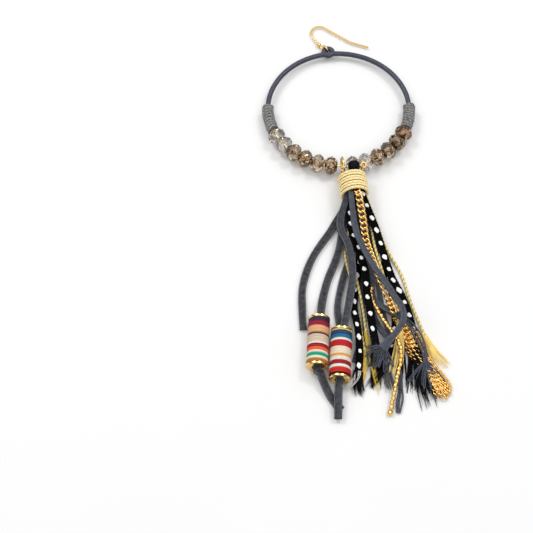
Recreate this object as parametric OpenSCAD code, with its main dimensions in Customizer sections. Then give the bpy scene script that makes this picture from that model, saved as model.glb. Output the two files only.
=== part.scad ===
// Tassel earring, lying on a flat surface as it comes to rest: a leather-covered hoop
// strung with faceted beads, an ear hook in the hoop's eye, and a gathered tassel of
// suede strips, dotted ribbons, gold cords and chains under a wound cap.
// X runs across the hoop, +Y from the tassel's tips to the ear hook, +Z is up.

/* [Hoop] */
// Diameter of the hoop, measured at the middle of its wire
hoop_d = 58; // [50:0.5:66]
// Diameter of the hoop's wire
hoop_wire_d = 1; // [0.8:0.05:1.2]
// Diameter of the leather cord that covers the wire
leather_d = 2.1; // [1.9:0.05:2.4]
// Radius of the eye in the leather cord, at the middle of the cord
eye_r = 1.85; // [1.8:0.05:2.2]
// Outer diameter of the thread windings that close the cord's ends
winding_d = 5; // [4:0.1:5.6]
// Length of the winding on the left of the beads
left_winding_l = 12.6; // [8:0.1:16]
// Length of the winding on the right of the beads
right_winding_l = 11.6; // [8:0.1:16]
// Width of one turn of the winding's thread
thread_w = 0.9; // [0.7:0.1:1.2]

/* [Glass beads] */
// Diameter of a faceted bead at its girdle
bead_d = 7.5; // [6.5:0.1:8]
// Length of a faceted bead along its hole
bead_l = 5; // [4:0.1:5.4]
// Diameter of the flat table at each end of a bead
bead_table_d = 4; // [3:0.1:4.6]
// Diameter of the hole through a bead
bead_bore = 1.4; // [1.35:0.05:1.6]
// Facets round a bead
bead_facets = 10; // [8:1:12]
// Beads on each side of the ring that carries the tassel
side_beads = 6; // [4:1:6]

/* [Ear hook] */
// Diameter of the hook's wire
hook_wire_d = 0.8; // [0.7:0.05:0.9]
// Diameter of the ball on the hook's shank
hook_ball_d = 2; // [1.6:0.1:2.4]
// Radius of the bend that sits in the ear lobe
hook_bend_r = 3.5; // [3.4:0.1:4.5]
// Length of the straight end of the hook's tail
hook_tip_l = 6.5; // [6:0.1:10]

/* [Hanging parts] */
// Diameter of the wire of the ring round the hoop
ring_wire_d = 0.85; // [0.7:0.05:0.9]
// Diameter of the black bead
black_bead_d = 5; // [4.4:0.1:5]
// Length of the black bead along its hole
black_bead_l = 4.6; // [3.8:0.1:5]
// Diameter of the wire of the black bead's pin and of the eye in the cap
pin_wire_d = 0.6; // [0.5:0.05:0.65]
// Radius of the loops of that wire, at the middle of the wire
pin_loop_r = 0.95; // [0.9:0.05:1.1]

/* [Cap] */
// Outer diameter of the wound gold cap
cap_d = 11.6; // [11:0.1:13]
// Length of the cap
cap_l = 8.8; // [7:0.1:12]
// Thickness of the braid that is wound into the cap
cap_wall = 0.8; // [0.6:0.05:1]
// Turns of braid in the cap
cap_turns = 5; // [4:1:7]
// Distance from the hoop's line to the top of the cap
cap_drop = 6.4; // [6.3:0.1:9]

/* [Tassel] */
// Length of the tassel below the cap
tassel_l = 93; // [80:1:105]
// Half the spread that the strands' places across are shares of
fan_w = 30; // [27:0.5:32]
// Width of a suede strip
suede_w = 3; // [2.6:0.1:3.2]
// Thickness of a suede strip
suede_t = 1.4; // [1.2:0.05:1.5]
// Width of a dotted ribbon
ribbon_w = 3.1; // [2.6:0.1:3.2]
// Thickness of a dotted ribbon
ribbon_t = 0.7; // [0.5:0.05:0.8]
// Diameter of a gold cord
cord_d = 1.2; // [1:0.05:1.3]
// Outer diameter of a link of the curb chain
curb_d = 3; // [2.7:0.05:3.1]
// Diameter of the wire of the curb chain
curb_wire_d = 0.6; // [0.5:0.05:0.65]
// Diameter of the ball chain
ball_chain_d = 1.6; // [1.3:0.05:1.7]
// Thickness of the bundle of fine chains
bundle_t = 1.3; // [1:0.05:1.5]
// Share of its full width that a strand has where it leaves the cap
gather = 0.75; // [0.65:0.05:0.85]

/* [Wound beads] */
// Diameter of a striped wound bead
wound_d = 8.2; // [7.4:0.1:8.2]
// Length of a striped wound bead between its gold rims
wound_l = 18.4; // [15:0.1:20]
// Length of a gold rim
rim_l = 1; // [0.7:0.1:1.4]
// Diameter of the hole through a striped bead and its rims
wound_bore = 3.9; // [3.7:0.05:4.2]
// Turns of thread that show on a striped bead
wound_turns = 14; // [12:1:18]

/* [Hidden] */
$fn = 48;
// Gaps between neighbouring pieces, between strands that lie on each other, and round the hook's loop
gap = 0.1;
lay_gap = 0.25;
ring_gap = 0.15;
// How far the suede head stays back from the cap's mouth
head_set_back = 2.4;
// Angle at which each end of the hoop's wire stops inside the leather, from the tassel's line
wire_end_a = 172;

hoop_r = hoop_d / 2;
hook_z = hook_ball_d / 2;
hook_loop_r = leather_d / 2 + ring_gap + hook_wire_d / 2;
eye_y = hoop_r + leather_d / 2;
eye_z = hook_z + hook_loop_r;

// Turn along the hoop that one bead takes, so that the tables just clear each other
bead_step = 2 * atan((bead_l / 2 + gap / 2) / (hoop_r - bead_table_d / 2));
// Room along the hoop for the ring, and its middle, both in degrees from the tassel's line
ring_room = 6.4;
ring_angle = -5.6;
left_first = ring_angle - ring_room / 2 - bead_step / 2;
right_first = ring_angle + ring_room / 2 + bead_step / 2;
left_last = left_first - (side_beads - 1) * bead_step;
right_last = right_first + (side_beads - 1) * bead_step;

// The hoop leans: its outer beads and its eye both touch what they lie on
lean = atan((bead_d / 2 - eye_z) / (hoop_r * cos(left_last) + eye_y));
hoop_z = eye_z + eye_y * tan(lean);

function degrees_of(l) = l / hoop_r * 180 / PI;
left_winding_a = left_last - bead_step / 2 - degrees_of(gap) - degrees_of(left_winding_l) / 2;
right_winding_a = right_last + bead_step / 2 + degrees_of(gap) + degrees_of(right_winding_l) / 2;

// Places in the earring's own frame: the hoop's middle is the start of X and Y here
function on_hoop(a) = [hoop_r * sin(a), -hoop_r * cos(a) * cos(lean), hoop_z + hoop_r * cos(a) * sin(lean)];
cap_r = cap_d / 2;
cap_bore_r = cap_r - cap_wall;
cap_top = -hoop_r - cap_drop;
mouth = cap_top - cap_l;
head_front = mouth + head_set_back;

// The black bead lies on the hoop's beads, just above the cap
ring_at = on_hoop(ring_angle);
black_y = cap_top + black_bead_d / 2 + 2 * gap;
black_z = ring_at[2] + sqrt(pow((bead_d + black_bead_d) / 2 + gap, 2) - pow(black_y - ring_at[1], 2));
left_loop = [ring_at[0], black_y, black_z];
collar_l = 0.4;
loop_step = pin_loop_r + pin_wire_d / 2 + collar_l + black_bead_l / 2;
black_at = left_loop + [loop_step, 0, 0];
right_loop = left_loop + [2 * loop_step, 0, 0];

ring_way = unit(left_loop - ring_at);
ring_r = (norm(left_loop - ring_at) + (ring_wire_d + hoop_wire_d) / 2 + ring_gap) / 2;
ring_centre = left_loop - ring_r * ring_way;
link_way = unit([0, -0.95, -0.3]);
link_at = ring_centre + ring_r * link_way;

// The eye in the cap points from the black bead's pin to the middle of the suede head
cap_eye_foot = [0.2 * cap_r, cap_top - 3, cap_r];
cap_eye_way = unit(cap_eye_foot - right_loop);
cap_eye_side = unit(cross([1, 0, 0], cap_eye_way));
cap_eye_at = right_loop + pin_loop_r * cap_eye_way;

function unit(v) = v / norm(v);
function mix(a, b, f) = a + (b - a) * f;
function limit(v, low, high) = max(low, min(high, v));

// Hook wire, drawn from its loop: each step is a straight length, then a bend
// Columns: length of the straight, radius of the bend, turn to the right in degrees
hook_heading = 118.7;
hook_ball_at = 4.5;
hook_steps = [
    [hook_ball_at + 1.2, 8, 6.6],
    [3.4, hook_bend_r, 154.8],
    [11.9, 12, -15.7],
    [hook_tip_l, 0, 0]
];
hook_start = [0, eye_y] + eye_r * [cos(hook_heading), sin(hook_heading)];

// Place and heading after a number of steps
function hook_place(n) = n == 0 ? [hook_start[0], hook_start[1], hook_heading] :
    let (p = hook_place(n - 1), s = hook_steps[n - 1], h = p[2],
         side = s[2] < 0 ? -1 : 1,
         a = [p[0], p[1]] + s[0] * [cos(h), sin(h)],
         c = a + side * s[1] * [sin(h), -cos(h)],
         e = h - s[2])
    [c[0] - side * s[1] * sin(e), c[1] + side * s[1] * cos(e), e];
hook_bend = hook_place(1);
hook_bend_start = [hook_bend[0], hook_bend[1]] + hook_steps[1][0] * [cos(hook_bend[2]), sin(hook_bend[2])];
hook_bend_c = hook_bend_start + hook_bend_r * [sin(hook_bend[2]), -cos(hook_bend[2])];
hook_top = hook_bend_c[1] + hook_bend_r + hook_wire_d / 2;

// The strands, in the order in which they are laid on each other, the lowest first.
// Columns: kind, start, end and fray as shares of the tassel's length, width as a share of
// its kind's, the fray's width as a share of the fan, the wound bead that it threads,
// its height in the cap's mouth as a share of the cap's bore,
// and its places across as shares of the fan, one at each eighth of the tassel's length
SUEDE = 0;
RIBBON = 1;
CORD = 2;
CURB = 3;
BALL = 4;
BUNDLE = 5;
KIND = 0;
START = 1;
END = 2;
FRAY = 3;
WIDE = 4;
FRAY_W = 5;
THREADS = 6;
LIFT = 7;
ACROSS = 8;
strands = [
    [SUEDE, 0, 0.61, 0, 0.85, 0, 0, -0.76, [-0.033, -0.075, -0.17, -0.33, -0.45, -0.46]],
    [SUEDE, 0, 0.99, 0, 0.66, 0, 0, -0.76, [0.033, 0.09, 0.14, 0.13, 0.11, 0.13, 0.17, 0.16, 0.07]],
    [SUEDE, 0, 0.75, 0, 0.55, 0, 0, -0.46, [0, 0, -0.01, -0.09, -0.13, -0.17, -0.36]],
    [SUEDE, 0, 0.58, 0, 0.95, 0, 0, -0.31, [-0.104, -0.36, -0.66, -0.84, -0.9, -0.93]],
    [CORD, 0, 0.7, 0.19, 1, 0.14, 0, -0.48, [-0.045, -0.125, -0.24, -0.23, -0.2, -0.21, -0.23, -0.34, -0.4]],
    [SUEDE, 0, 0.95, 0, 1, 0, 1, -0.04, [-0.1, -0.21, -0.33, -0.53, -0.66, -0.71, -0.8, -0.73, -0.52]],
    [RIBBON, 0.22, 0.8, 0.09, 0.9, 0.14, 0, -1, [-0.03, -0.04, -0.05, -0.14, -0.24, -0.25, -0.29, -0.4, -0.48]],
    [RIBBON, 0.3, 0.76, 0.1, 0.9, 0.17, 0, -1, [0.1, 0.17, 0.23, 0.27, 0.27, 0.22, 0.07, -0.18, -0.3]],
    [CORD, 0.25, 0.63, 0.17, 1, 0.14, 0, -1, [-0.12, -0.2, -0.23, -0.17, -0.14, -0.15, -0.17, -0.2, -0.2]],
    [SUEDE, 0, 0.7, 0, 0.66, 0, 0, -0.54, [0.09, 0.17, 0.17, 0.08, -0.02, 0.04, 0.22]],
    [BUNDLE, 0.5, 0.93, 0, 1, 0, 0, -1, [0.1, 0.14, 0.18, 0.22, 0.26, 0.34, 0.46, 0.61, 0.7]],
    [CORD, 0, 0.62, 0.24, 1, 0.17, 0, -0.24, [0.11, 0.15, 0.145, 0.19, 0.27, 0.27, 0.2, 0.1, 0]],
    [CORD, 0, 0.66, 0.19, 1, 0.17, 0, 0.03, [0.14, 0.23, 0.31, 0.43, 0.48, 0.55, 0.64, 0.79, 0.9]],
    [RIBBON, 0, 0.72, 0.22, 1, 0.2, 0, 0.25, [0.1, 0.175, 0.222, 0.29, 0.395, 0.42, 0.43, 0.44, 0.45]],
    [SUEDE, 0, 0.8, 0.13, 0.77, 0.19, 0, -0.16, [0.03, 0.055, 0.05, 0.05, 0.03, 0.38, 0.52, 0.46, 0.46]],
    [BALL, 0.3, 1, 0, 1, 0, 0, -1, [0.02, 0.05, 0.06, 0.05, -0.02, 0.12, 0.22, 0.1, -0.04]],
    [SUEDE, 0, 0.99, 0, 1, 0, 2, 0.22, [-0.113, -0.25, -0.2, -0.205, -0.31, -0.44, -0.52, -0.61, -0.67]],
    [RIBBON, 0, 0.68, 0.08, 1, 0.14, 0, 0.1, [-0.02, -0.125, -0.065, -0.05, -0.07, -0.07, -0.07, -0.08, -0.1]],
    [CURB, 0, 0.6, 0, 1, 0, 0, 0.6, [0.02, 0.035, 0.04, 0.085, 0.185, 0.22]],
    [SUEDE, 0, 0.69, 0.08, 0.77, 0.13, 0, 0.52, [-0.063, -0.08, -0.045, 0.05, 0.24, 0.31, -0.04]]
];

// Each kind's width and thickness, in the order of the kinds
kind_w = [suede_w, ribbon_w, cord_d, curb_d, ball_chain_d, fan_w * 0.08];
kind_t = [suede_t, ribbon_t, cord_d, curb_d * 0.86, ball_chain_d, bundle_t];
bundle_end_w = fan_w * 0.23;

// Wound beads: where each starts, as shares of the tassel's length and of the fan,
// and the lean of its axis in degrees
BEAD_FROM = 0;
BEAD_ACROSS = 1;
BEAD_LEAN = 2;
wound_beads = [[0.555, -0.71, -10.5], [0.62, -0.455, -10.5]];
wound_whole = wound_l + 2 * rim_l + 2 * gap;

// Stations along the tassel, and the steepest that a strand bridges from one to the next
stations = 30;
bridge = 0.3;
station_l = tassel_l / stations;

function reach(s) = s[END] + s[FRAY];
// Place of a list's end, held straight on past its last value
function held(list, i) = i < 0 ? list[0] : i < len(list) ? list[i] :
    list[len(list) - 1] + (i - len(list) + 1) * (list[len(list) - 1] - list[len(list) - 2]);
function smooth(list, t) = let (i = floor(limit(t, 0, 7.999)), f = t - i,
    a = held(list, i - 1), b = held(list, i), c = held(list, i + 1), d = held(list, i + 2))
    0.5 * (2 * b + (c - a) * f + (2 * a - 5 * b + 4 * c - d) * f * f
        + (3 * b - a - 3 * c + d) * f * f * f);
function bead_from(b) = wound_beads[b - 1][BEAD_FROM] * tassel_l;
function inside_bead(s, v) = s[THREADS] > 0 && v > bead_from(s[THREADS]) - 1
    && v < bead_from(s[THREADS]) + wound_whole + 1;
function bead_x(b, v) = wound_beads[b - 1][BEAD_ACROSS] * fan_w
    + (v - bead_from(b)) * tan(wound_beads[b - 1][BEAD_LEAN]);
// Place across of a strand, v millimetres from the mouth
function across(s, v) = inside_bead(s, v) ? bead_x(s[THREADS], v) :
    fan_w * smooth(s[ACROSS], 8 * v / tassel_l);
function slant(s, v) = (across(s, v + 1) - across(s, v - 1)) / 2;
function fray_part(s, v) = s[FRAY] == 0 ? 0 : limit((v / tassel_l - s[END]) / s[FRAY], 0, 1);
function flare(f) = f < 0.6 ? f / 0.6 : 1 - (f - 0.6) / 0.4 * 0.5;
// Width and thickness of a strand, v millimetres from the mouth
function full_w(s) = kind_w[s[KIND]] * s[WIDE];
function width(s, v) = let (f = fray_part(s, v), g = limit(mix(gather, 1, v / 10), gather, 1))
    s[KIND] == BUNDLE ? mix(full_w(s), bundle_end_w, limit((v / tassel_l - s[START]) * 4, 0, 1)) :
    s[KIND] == CURB || s[KIND] == BALL || s[KIND] == CORD && f == 0 ? full_w(s) :
    s[KIND] == CORD ? max(full_w(s) * (1 - f), fan_w * s[FRAY_W] * flare(f)) :
    f == 0 ? full_w(s) * g : mix(full_w(s), fan_w * s[FRAY_W], flare(f));
function thickness(s, v) = let (f = fray_part(s, v)) mix(kind_t[s[KIND]], 1, f);

// A strand's place across and its reach to each side, at every half station
function outline(s) = [for (h = [0:2 * stations]) let (v = h * station_l / 2)
    [across(s, v), width(s, v) / 2 * sqrt(1 + pow(slant(s, v), 2))]];
function is_there(s, k) = k >= s[START] * stations - 1 && k <= reach(s) * stations + 1;
function meets(p, q, k) = min([for (h = [max(0, 2 * k - 1):min(2 * stations, 2 * k + 1)])
    abs(p[h][0] - q[h][0]) - p[h][1] - q[h][1]]) < gap;

// Heights of a strand at the stations, over all that is laid below it, and bridging hollows.
// A laid strand holds its row, its outline and its heights
function bare_height(s, v) = inside_bead(s, v) ? wound_d / 2 : thickness(s, v) / 2;
function mouth_height(s) = s[START] == 0 ? cap_r + s[LIFT] * cap_bore_r : 0;
function over(s, p, k, done) = let (v = k * station_l) max([bare_height(s, v),
    for (d = done) if (is_there(s, k) && is_there(d[0], k) && meets(p, d[1], k))
        d[2][k] + (thickness(d[0], v) + thickness(s, v)) / 2 + lay_gap]);
function laid(s, done) = let (p = outline(s), raw = [for (k = [0:stations]) over(s, p, k, done)])
    [s, p, [for (k = [0:stations])
        k == 0 && s[START] == 0 ? mouth_height(s) :
        inside_bead(s, k * station_l) ? wound_d / 2 :
        max(concat([mouth_height(s) - bridge * station_l * k],
            [for (m = [1:stations]) if (is_there(s, m) || m == k) raw[m] - bridge * station_l * abs(k - m)]))]];
function lay(i, done) = i == len(strands) ? done : lay(i + 1, concat(done, [laid(strands[i], done)]));
laid_strands = lay(0, []);

function height(l, v) = inside_bead(l[0], v) ? wound_d / 2 :
    max(thickness(l[0], v) / 2, lookup(v, [for (k = [0:stations]) [k * station_l, l[2][k]]]));
// Route of a laid strand: place, heading, width and thickness at each of its rings
function bead_ends(s) = s[THREADS] == 0 ? [] :
    [bead_from(s[THREADS]) - 0.9, bead_from(s[THREADS]) + wound_whole + 0.9];
function is_free(v, places) = min(concat([station_l], [for (p = places) abs(v - p)])) > 0.6;
function ring_places(s) = let (from = s[START] * tassel_l, to = reach(s) * tassel_l,
    marks = concat([from, to], bead_ends(s)))
    concat([s[START] == 0 ? -1 : from], [for (k = [0:stations]) let (v = k * station_l) each concat(
        [for (b = bead_ends(s)) if (b > v - station_l && b <= v) b],
        v == from || v > from && v < to && is_free(v, marks) ? [v] : [])], [to]);
function route(l) = let (s = l[0]) [for (v = ring_places(s))
    v < 0 ? [[across(s, 0), head_front - gap, height(l, 0)], [0, -1, 0], width(s, 0), thickness(s, 0)] :
    [[across(s, v), mouth - v, height(l, v)], unit([slant(s, v), -1, 0]), width(s, v), thickness(s, v)]];

// The whole is centred on the box that it fills
tips = [for (s = strands) mouth - reach(s) * tassel_l];
middle_y = (hook_top + min(tips)) / 2;

function kind_of(l) = l[0][KIND];
function own(kind) = [for (l = laid_strands) if (kind_of(l) == kind) l];

function bead_name(i) = str("glass_bead_", i < 10 ? "0" : "", i);

// Moves what is drawn about the hoop's middle into the earring's centred frame
module centred() {
    translate([0, -middle_y, 0]) children();
}

module in_hoop() {
    centred() translate([0, 0, hoop_z]) rotate([-lean, 0, 0]) children();
}

// Stands children, drawn along X, on the hoop's line at an angle from the tassel
module at_angle(a) {
    in_hoop() rotate([0, 0, a]) translate([0, -hoop_r, 0]) children();
}

module torus(r, wire_r) {
    rotate_extrude($fn = 64) translate([r, 0]) circle(wire_r, $fn = 24);
}

module hoop_arc(from, to, wire_r) {
    rotate([0, 0, from - 90]) rotate_extrude(angle = to - from, $fn = 120)
        translate([hoop_r, 0]) circle(wire_r, $fn = 32);
}

// Draws children, made in the plane of X and Y, in the plane of the unit vectors u and v
module in_plane(at, u, v) {
    w = cross(u, v);
    multmatrix([[u[0], v[0], w[0], at[0]], [u[1], v[1], w[1], at[1]], [u[2], v[2], w[2], at[2]],
        [0, 0, 0, 1]]) children();
}

// A cylinder along +X from the start of X
module rod(l, r) {
    rotate([0, 90, 0]) cylinder(h = l, r = r, $fn = 32);
}

// The hook's wire is a row of rings from the end of its loop to its tip. A ring is a place,
// the way to its left, the way up and a radius
hook_loop_turn = 325;
wire_sides = 20;
ring_turn = 9;
function to_left(h) = [-sin(h), cos(h), 0];
function loop_rings(way, side) = let (n = ceil(hook_loop_turn / ring_turn)) [for (k = [0:n - 1])
    let (t = hook_loop_turn * (1 - k / n))
    [[hook_start[0], hook_start[1], hook_z] + hook_loop_r * ([0, 0, 1 - cos(t)] - sin(t) * way), side,
        [0, 0, cos(t)] + sin(t) * way, hook_wire_d / 2]];
function flat_ring(x, y, h, r) = [[x, y, hook_z], to_left(h), [0, 0, 1], r];
function ball_rings(p) = let (h = p[2], b = hook_ball_d / 2, low = asin(hook_wire_d / hook_ball_d))
    [for (k = [0:10]) let (t = mix(low, 180 - low, k / 10), at = hook_ball_at - b * cos(t))
        flat_ring(p[0] + at * cos(h), p[1] + at * sin(h), h, b * sin(t))];
function step_rings(i) = let (p = hook_place(i), s = hook_steps[i], h = p[2], side = s[2] < 0 ? -1 : 1,
    n = max(1, ceil(abs(s[2]) / ring_turn)),
    a = [p[0], p[1]] + s[0] * [cos(h), sin(h)], c = a + side * s[1] * [sin(h), -cos(h)])
    concat([flat_ring(p[0], p[1], h, hook_wire_d / 2)], i == 0 ? ball_rings(p) : [],
        s[1] == 0 ? [flat_ring(a[0], a[1], h, hook_wire_d / 2)] :
        [for (k = [0:n - 1]) let (e = h - s[2] * k / n)
            flat_ring(c[0] - side * s[1] * sin(e), c[1] + side * s[1] * cos(e), e, hook_wire_d / 2)]);

// The tail is a round rod. The rings end in a short cone inside its start
tail = hook_place(len(hook_steps) - 1);
tail_start = hook_wire_d * 0.25;
function tail_ring(at, r) = flat_ring(tail[0] + at * cos(tail[2]), tail[1] + at * sin(tail[2]), tail[2], r);
hook_rings = concat(loop_rings([cos(hook_heading), sin(hook_heading), 0], to_left(hook_heading)),
    [for (i = [0:len(hook_steps) - 2]) each step_rings(i)],
    [tail_ring(0, hook_wire_d / 2), tail_ring(hook_wire_d * 0.2, hook_wire_d / 2),
     tail_ring(hook_wire_d * 0.65, hook_wire_d * 0.3)]);

module ear_hook() {
    color("gold") centred() {
        tube([for (r = hook_rings) let (size = r[3] / sqrt(cos(180 / wire_sides)))
            [for (i = [0:wire_sides - 1]) let (a = i * 360 / wire_sides)
                r[0] + size * (r[1] * cos(a) - r[2] * sin(a))]]);
        translate([tail[0], tail[1], hook_z]) rotate([0, 0, tail[2]]) translate([tail_start, 0, 0])
            rod(hook_tip_l - tail_start, hook_wire_d / 2);
    }
}

// A closed solid through rings of points, each of which turns clockwise from the left to the top
module tube(rings) {
    n = len(rings[0]);
    m = len(rings);
    faces = concat([[for (i = [n - 1:-1:0]) i]], [[for (i = [0:n - 1]) (m - 1) * n + i]],
        [for (k = [0:m - 2]) for (i = [0:n - 1]) let (j = (i + 1) % n)
            each [[k * n + i, k * n + j, (k + 1) * n + j], [k * n + i, (k + 1) * n + j, (k + 1) * n + i]]]);
    polyhedron([for (r = rings) each r], faces);
}

module hoop_wire() {
    color("gold") in_hoop() hoop_arc(-wire_end_a, wire_end_a, hoop_wire_d / 2);
}

module hoop_leather() {
    color("slategray") in_hoop() difference() {
        union() {
            hoop_arc(right_last + bead_step / 2 + 1, 360 + left_last - bead_step / 2 - 1, leather_d / 2);
            translate([0, eye_y, 0]) torus(eye_r, leather_d / 2);
        }
        hoop_arc(-wire_end_a - 1, wire_end_a + 1, hoop_wire_d / 2 + gap);
        translate([0, eye_y, 0]) cylinder(h = leather_d * 2, r = eye_r - leather_d / 2, center = true);
    }
}

// Turns of thread side by side, each a short barrel
module winding(l, a) {
    turns = round(l / thread_w);
    turn_l = l / turns;
    turn_a = degrees_of(turn_l);
    edge = thread_w * 0.22;
    color("darkgray") difference() {
        for (i = [0:turns - 1])
            at_angle(a + (i - (turns - 1) / 2) * turn_a) rotate([0, 90, 0]) rotate_extrude()
                polygon([[0, -turn_l * 0.56], [winding_d / 2 - edge, -turn_l * 0.56],
                    [winding_d / 2, -turn_l * 0.25], [winding_d / 2, turn_l * 0.25],
                    [winding_d / 2 - edge, turn_l * 0.56], [0, turn_l * 0.56]]);
        in_hoop() hoop_arc(a - degrees_of(l), a + degrees_of(l), leather_d / 2 + gap);
    }
}

module left_winding() {
    winding(left_winding_l, left_winding_a);
}

module right_winding() {
    winding(right_winding_l, right_winding_a);
}

// A cut bead: a table at each end, two rows of facets and a girdle between them
module cut_bead(d, l, table_d, bore, n) {
    // Columns: place along the hole as a share of half the length, radius, turn of the row
    rows = [[-1, table_d / 2, 0], [-0.52, mix(table_d, d, 0.72) / 2, 0.5], [0, d / 2, 0],
        [0.52, mix(table_d, d, 0.72) / 2, 0.5], [1, table_d / 2, 0]];
    points = [for (row = rows) for (i = [0:n - 1]) let (a = (i + row[2]) * 360 / n)
        [row[0] * l / 2, row[1] * cos(a), row[1] * sin(a)]];
    facets = [for (k = [0:3]) for (i = [0:n - 1]) let (j = (i + 1) % n, a = k * n, b = a + n)
        each k % 2 == 0 ? [[a + i, b + i, a + j], [a + j, b + i, b + j]]
            : [[a + i, b + j, a + j], [a + i, b + i, b + j]]];
    difference() {
        polyhedron(points, concat([[for (i = [0:n - 1]) i]], [[for (i = [n - 1:-1:0]) 4 * n + i]], facets));
        translate([-l, 0, 0]) rod(2 * l, bore / 2);
    }
}

module glass_bead(i) {
    a = i <= side_beads ? left_first - (side_beads - i) * bead_step
        : right_first + (i - side_beads - 1) * bead_step;
    color("rosybrown") at_angle(a) cut_bead(bead_d, bead_l, bead_table_d, bead_bore, bead_facets);
}

module drop_ring() {
    color("gold") centred() in_plane(ring_centre, ring_way, [1, 0, 0]) torus_across(ring_r, ring_wire_d / 2);
}

// A ring in the plane of the first axis and the normal of the other two
module torus_across(r, wire_r) {
    rotate([90, 0, 0]) torus(r, wire_r);
}

module link_ring() {
    color("gold") centred() in_plane(link_at, link_way, [1, 0, 0]) torus(pin_loop_r, pin_wire_d / 2);
}

module bead_pin() {
    color("gold") centred() {
        in_plane(left_loop, ring_way, [1, 0, 0]) torus(pin_loop_r, pin_wire_d / 2);
        in_plane(right_loop, cap_eye_way, unit(cross(cap_eye_way, cap_eye_side)))
            torus(pin_loop_r, pin_wire_d / 2);
        translate(left_loop + [pin_loop_r, 0, 0]) rod(2 * loop_step - 2 * pin_loop_r, pin_wire_d / 2);
        for (side = [-1, 1])
            translate(black_at + [side * (black_bead_l / 2 + gap) - (side < 0 ? collar_l - gap : 0), 0, 0])
                rod(collar_l - gap, pin_wire_d * 0.8);
    }
}

module black_bead() {
    color("black") centred() translate(black_at)
        cut_bead(black_bead_d, black_bead_l, black_bead_d * 0.5, pin_wire_d + 2 * gap, 10);
}

module cap_eye() {
    color("gold") centred() {
        in_plane(cap_eye_at, cap_eye_way, cap_eye_side) torus(pin_loop_r, pin_wire_d / 2);
        in_plane(cap_eye_at, cap_eye_way, cap_eye_side) translate([pin_loop_r, 0, 0])
            rod(cap_eye_shank_l(), pin_wire_d / 2);
    }
}
function cap_eye_shank_l() = norm(cap_eye_foot - cap_eye_at) - pin_loop_r;

module cap_winding() {
    turn_l = cap_l / cap_turns;
    ridge = cap_wall * 0.35;
    color("khaki") centred() translate([0, cap_top, cap_r]) rotate([90, 0, 0]) difference() {
        rotate_extrude($fn = 96) polygon(concat([[0, 0]],
            [for (i = [0:cap_turns - 1]) each [[cap_r - ridge, i * turn_l], [cap_r, (i + 0.3) * turn_l],
                [cap_r, (i + 0.7) * turn_l]]],
            [[cap_r - ridge, cap_l], [0, cap_l]]));
        translate([0, 0, -1]) cylinder(h = cap_l + 2, r = cap_bore_r, $fn = 96);
    }
}

// One strand: its outline at each ring of its route
module sweep(rings, outline) {
    tube([for (r = rings) let (h = r[1], side = [-h[1], h[0], 0])
        [for (o = outline) r[0] + side * o[0] * r[2] / 2 + [0, 0, o[1] * r[3] / 2]]]);
}
flat_outline = [[-1, -1], [-1, 1], [1, 1], [1, -1]];
round_outline = [for (i = [0:7]) [-cos(i * 45 + 22.5), sin(i * 45 + 22.5)] / cos(22.5) * 0.98];

module strand(l, outline) {
    centred() sweep(route(l), outline);
}

// The suede strips run on into the head that they are cut from, inside the cap
module suede_fringe() {
    head_r = cap_bore_r - gap;
    color("slategray") difference() {
        union() {
            centred() translate([0, cap_top - gap, cap_r]) rotate([90, 0, 0])
                cylinder(h = cap_top - gap - head_front, r = head_r, $fn = 48);
            for (l = own(SUEDE)) {
                strand(l, flat_outline);
                if (l[0][START] == 0) strip_root(l);
            }
        }
        centred() in_plane(cap_eye_at, cap_eye_way, cap_eye_side) translate([pin_loop_r, 0, 0])
            rod(cap_eye_shank_l() + gap, pin_wire_d / 2 + gap);
    }
}

module strip_root(l) {
    r = route(l)[0];
    centred() hull() {
        translate(r[0] - [r[2] / 2, 0.2, r[3] / 2]) cube([r[2], 0.2, r[3]]);
        translate(r[0] + [-r[2] / 2, 1, -r[3] / 2]) cube([r[2], 0.2, r[3]]);
    }
}

module dotted_ribbons() {
    color("black") for (l = own(RIBBON)) strand(l, flat_outline);
}

module gold_cords() {
    color("khaki") for (l = own(CORD)) strand(l, round_outline);
}

// Links of wire, each turned across its neighbours and passing through them
module curb_chain() {
    l = own(CURB)[0];
    link_r = (curb_d - curb_wire_d) / 2;
    pitch = 2 * link_r - curb_wire_d - 0.12;
    r = route(l);
    runs = [for (k = 0, s = 0; k < len(r); s = s + (k < len(r) - 1 ? norm(r[k + 1][0] - r[k][0]) : 0),
        k = k + 1) s];
    function along(s) = [for (c = [0:2]) lookup(s, [for (k = [0:len(r) - 1]) [runs[k], r[k][0][c]]])];
    color("gold") centred() for (i = [0:floor((runs[len(r) - 1] - curb_d) / pitch)]) {
        s = curb_d / 2 + i * pitch;
        way = unit(along(s + 0.5) - along(s - 0.5));
        side = unit(cross(way, [0, 0, 1]));
        up = cross(side, way);
        turn = i % 2 == 0 ? 45 : -45;
        in_plane(along(s), way, side * cos(turn) + up * sin(turn)) torus(link_r, curb_wire_d / 2);
    }
}

module ball_chain() {
    color("gold") for (l = own(BALL)) strand(l, round_outline);
}

module fine_chains() {
    color("goldenrod") for (l = own(BUNDLE)) strand(l, flat_outline);
}

// Draws children, made along X from the upper end of a wound bead, where that bead lies
module on_wound_bead(b) {
    w = wound_beads[b - 1];
    centred() translate([w[BEAD_ACROSS] * fan_w, mouth - w[BEAD_FROM] * tassel_l, wound_d / 2])
        rotate([0, 0, -90 + w[BEAD_LEAN]]) children();
}

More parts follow.
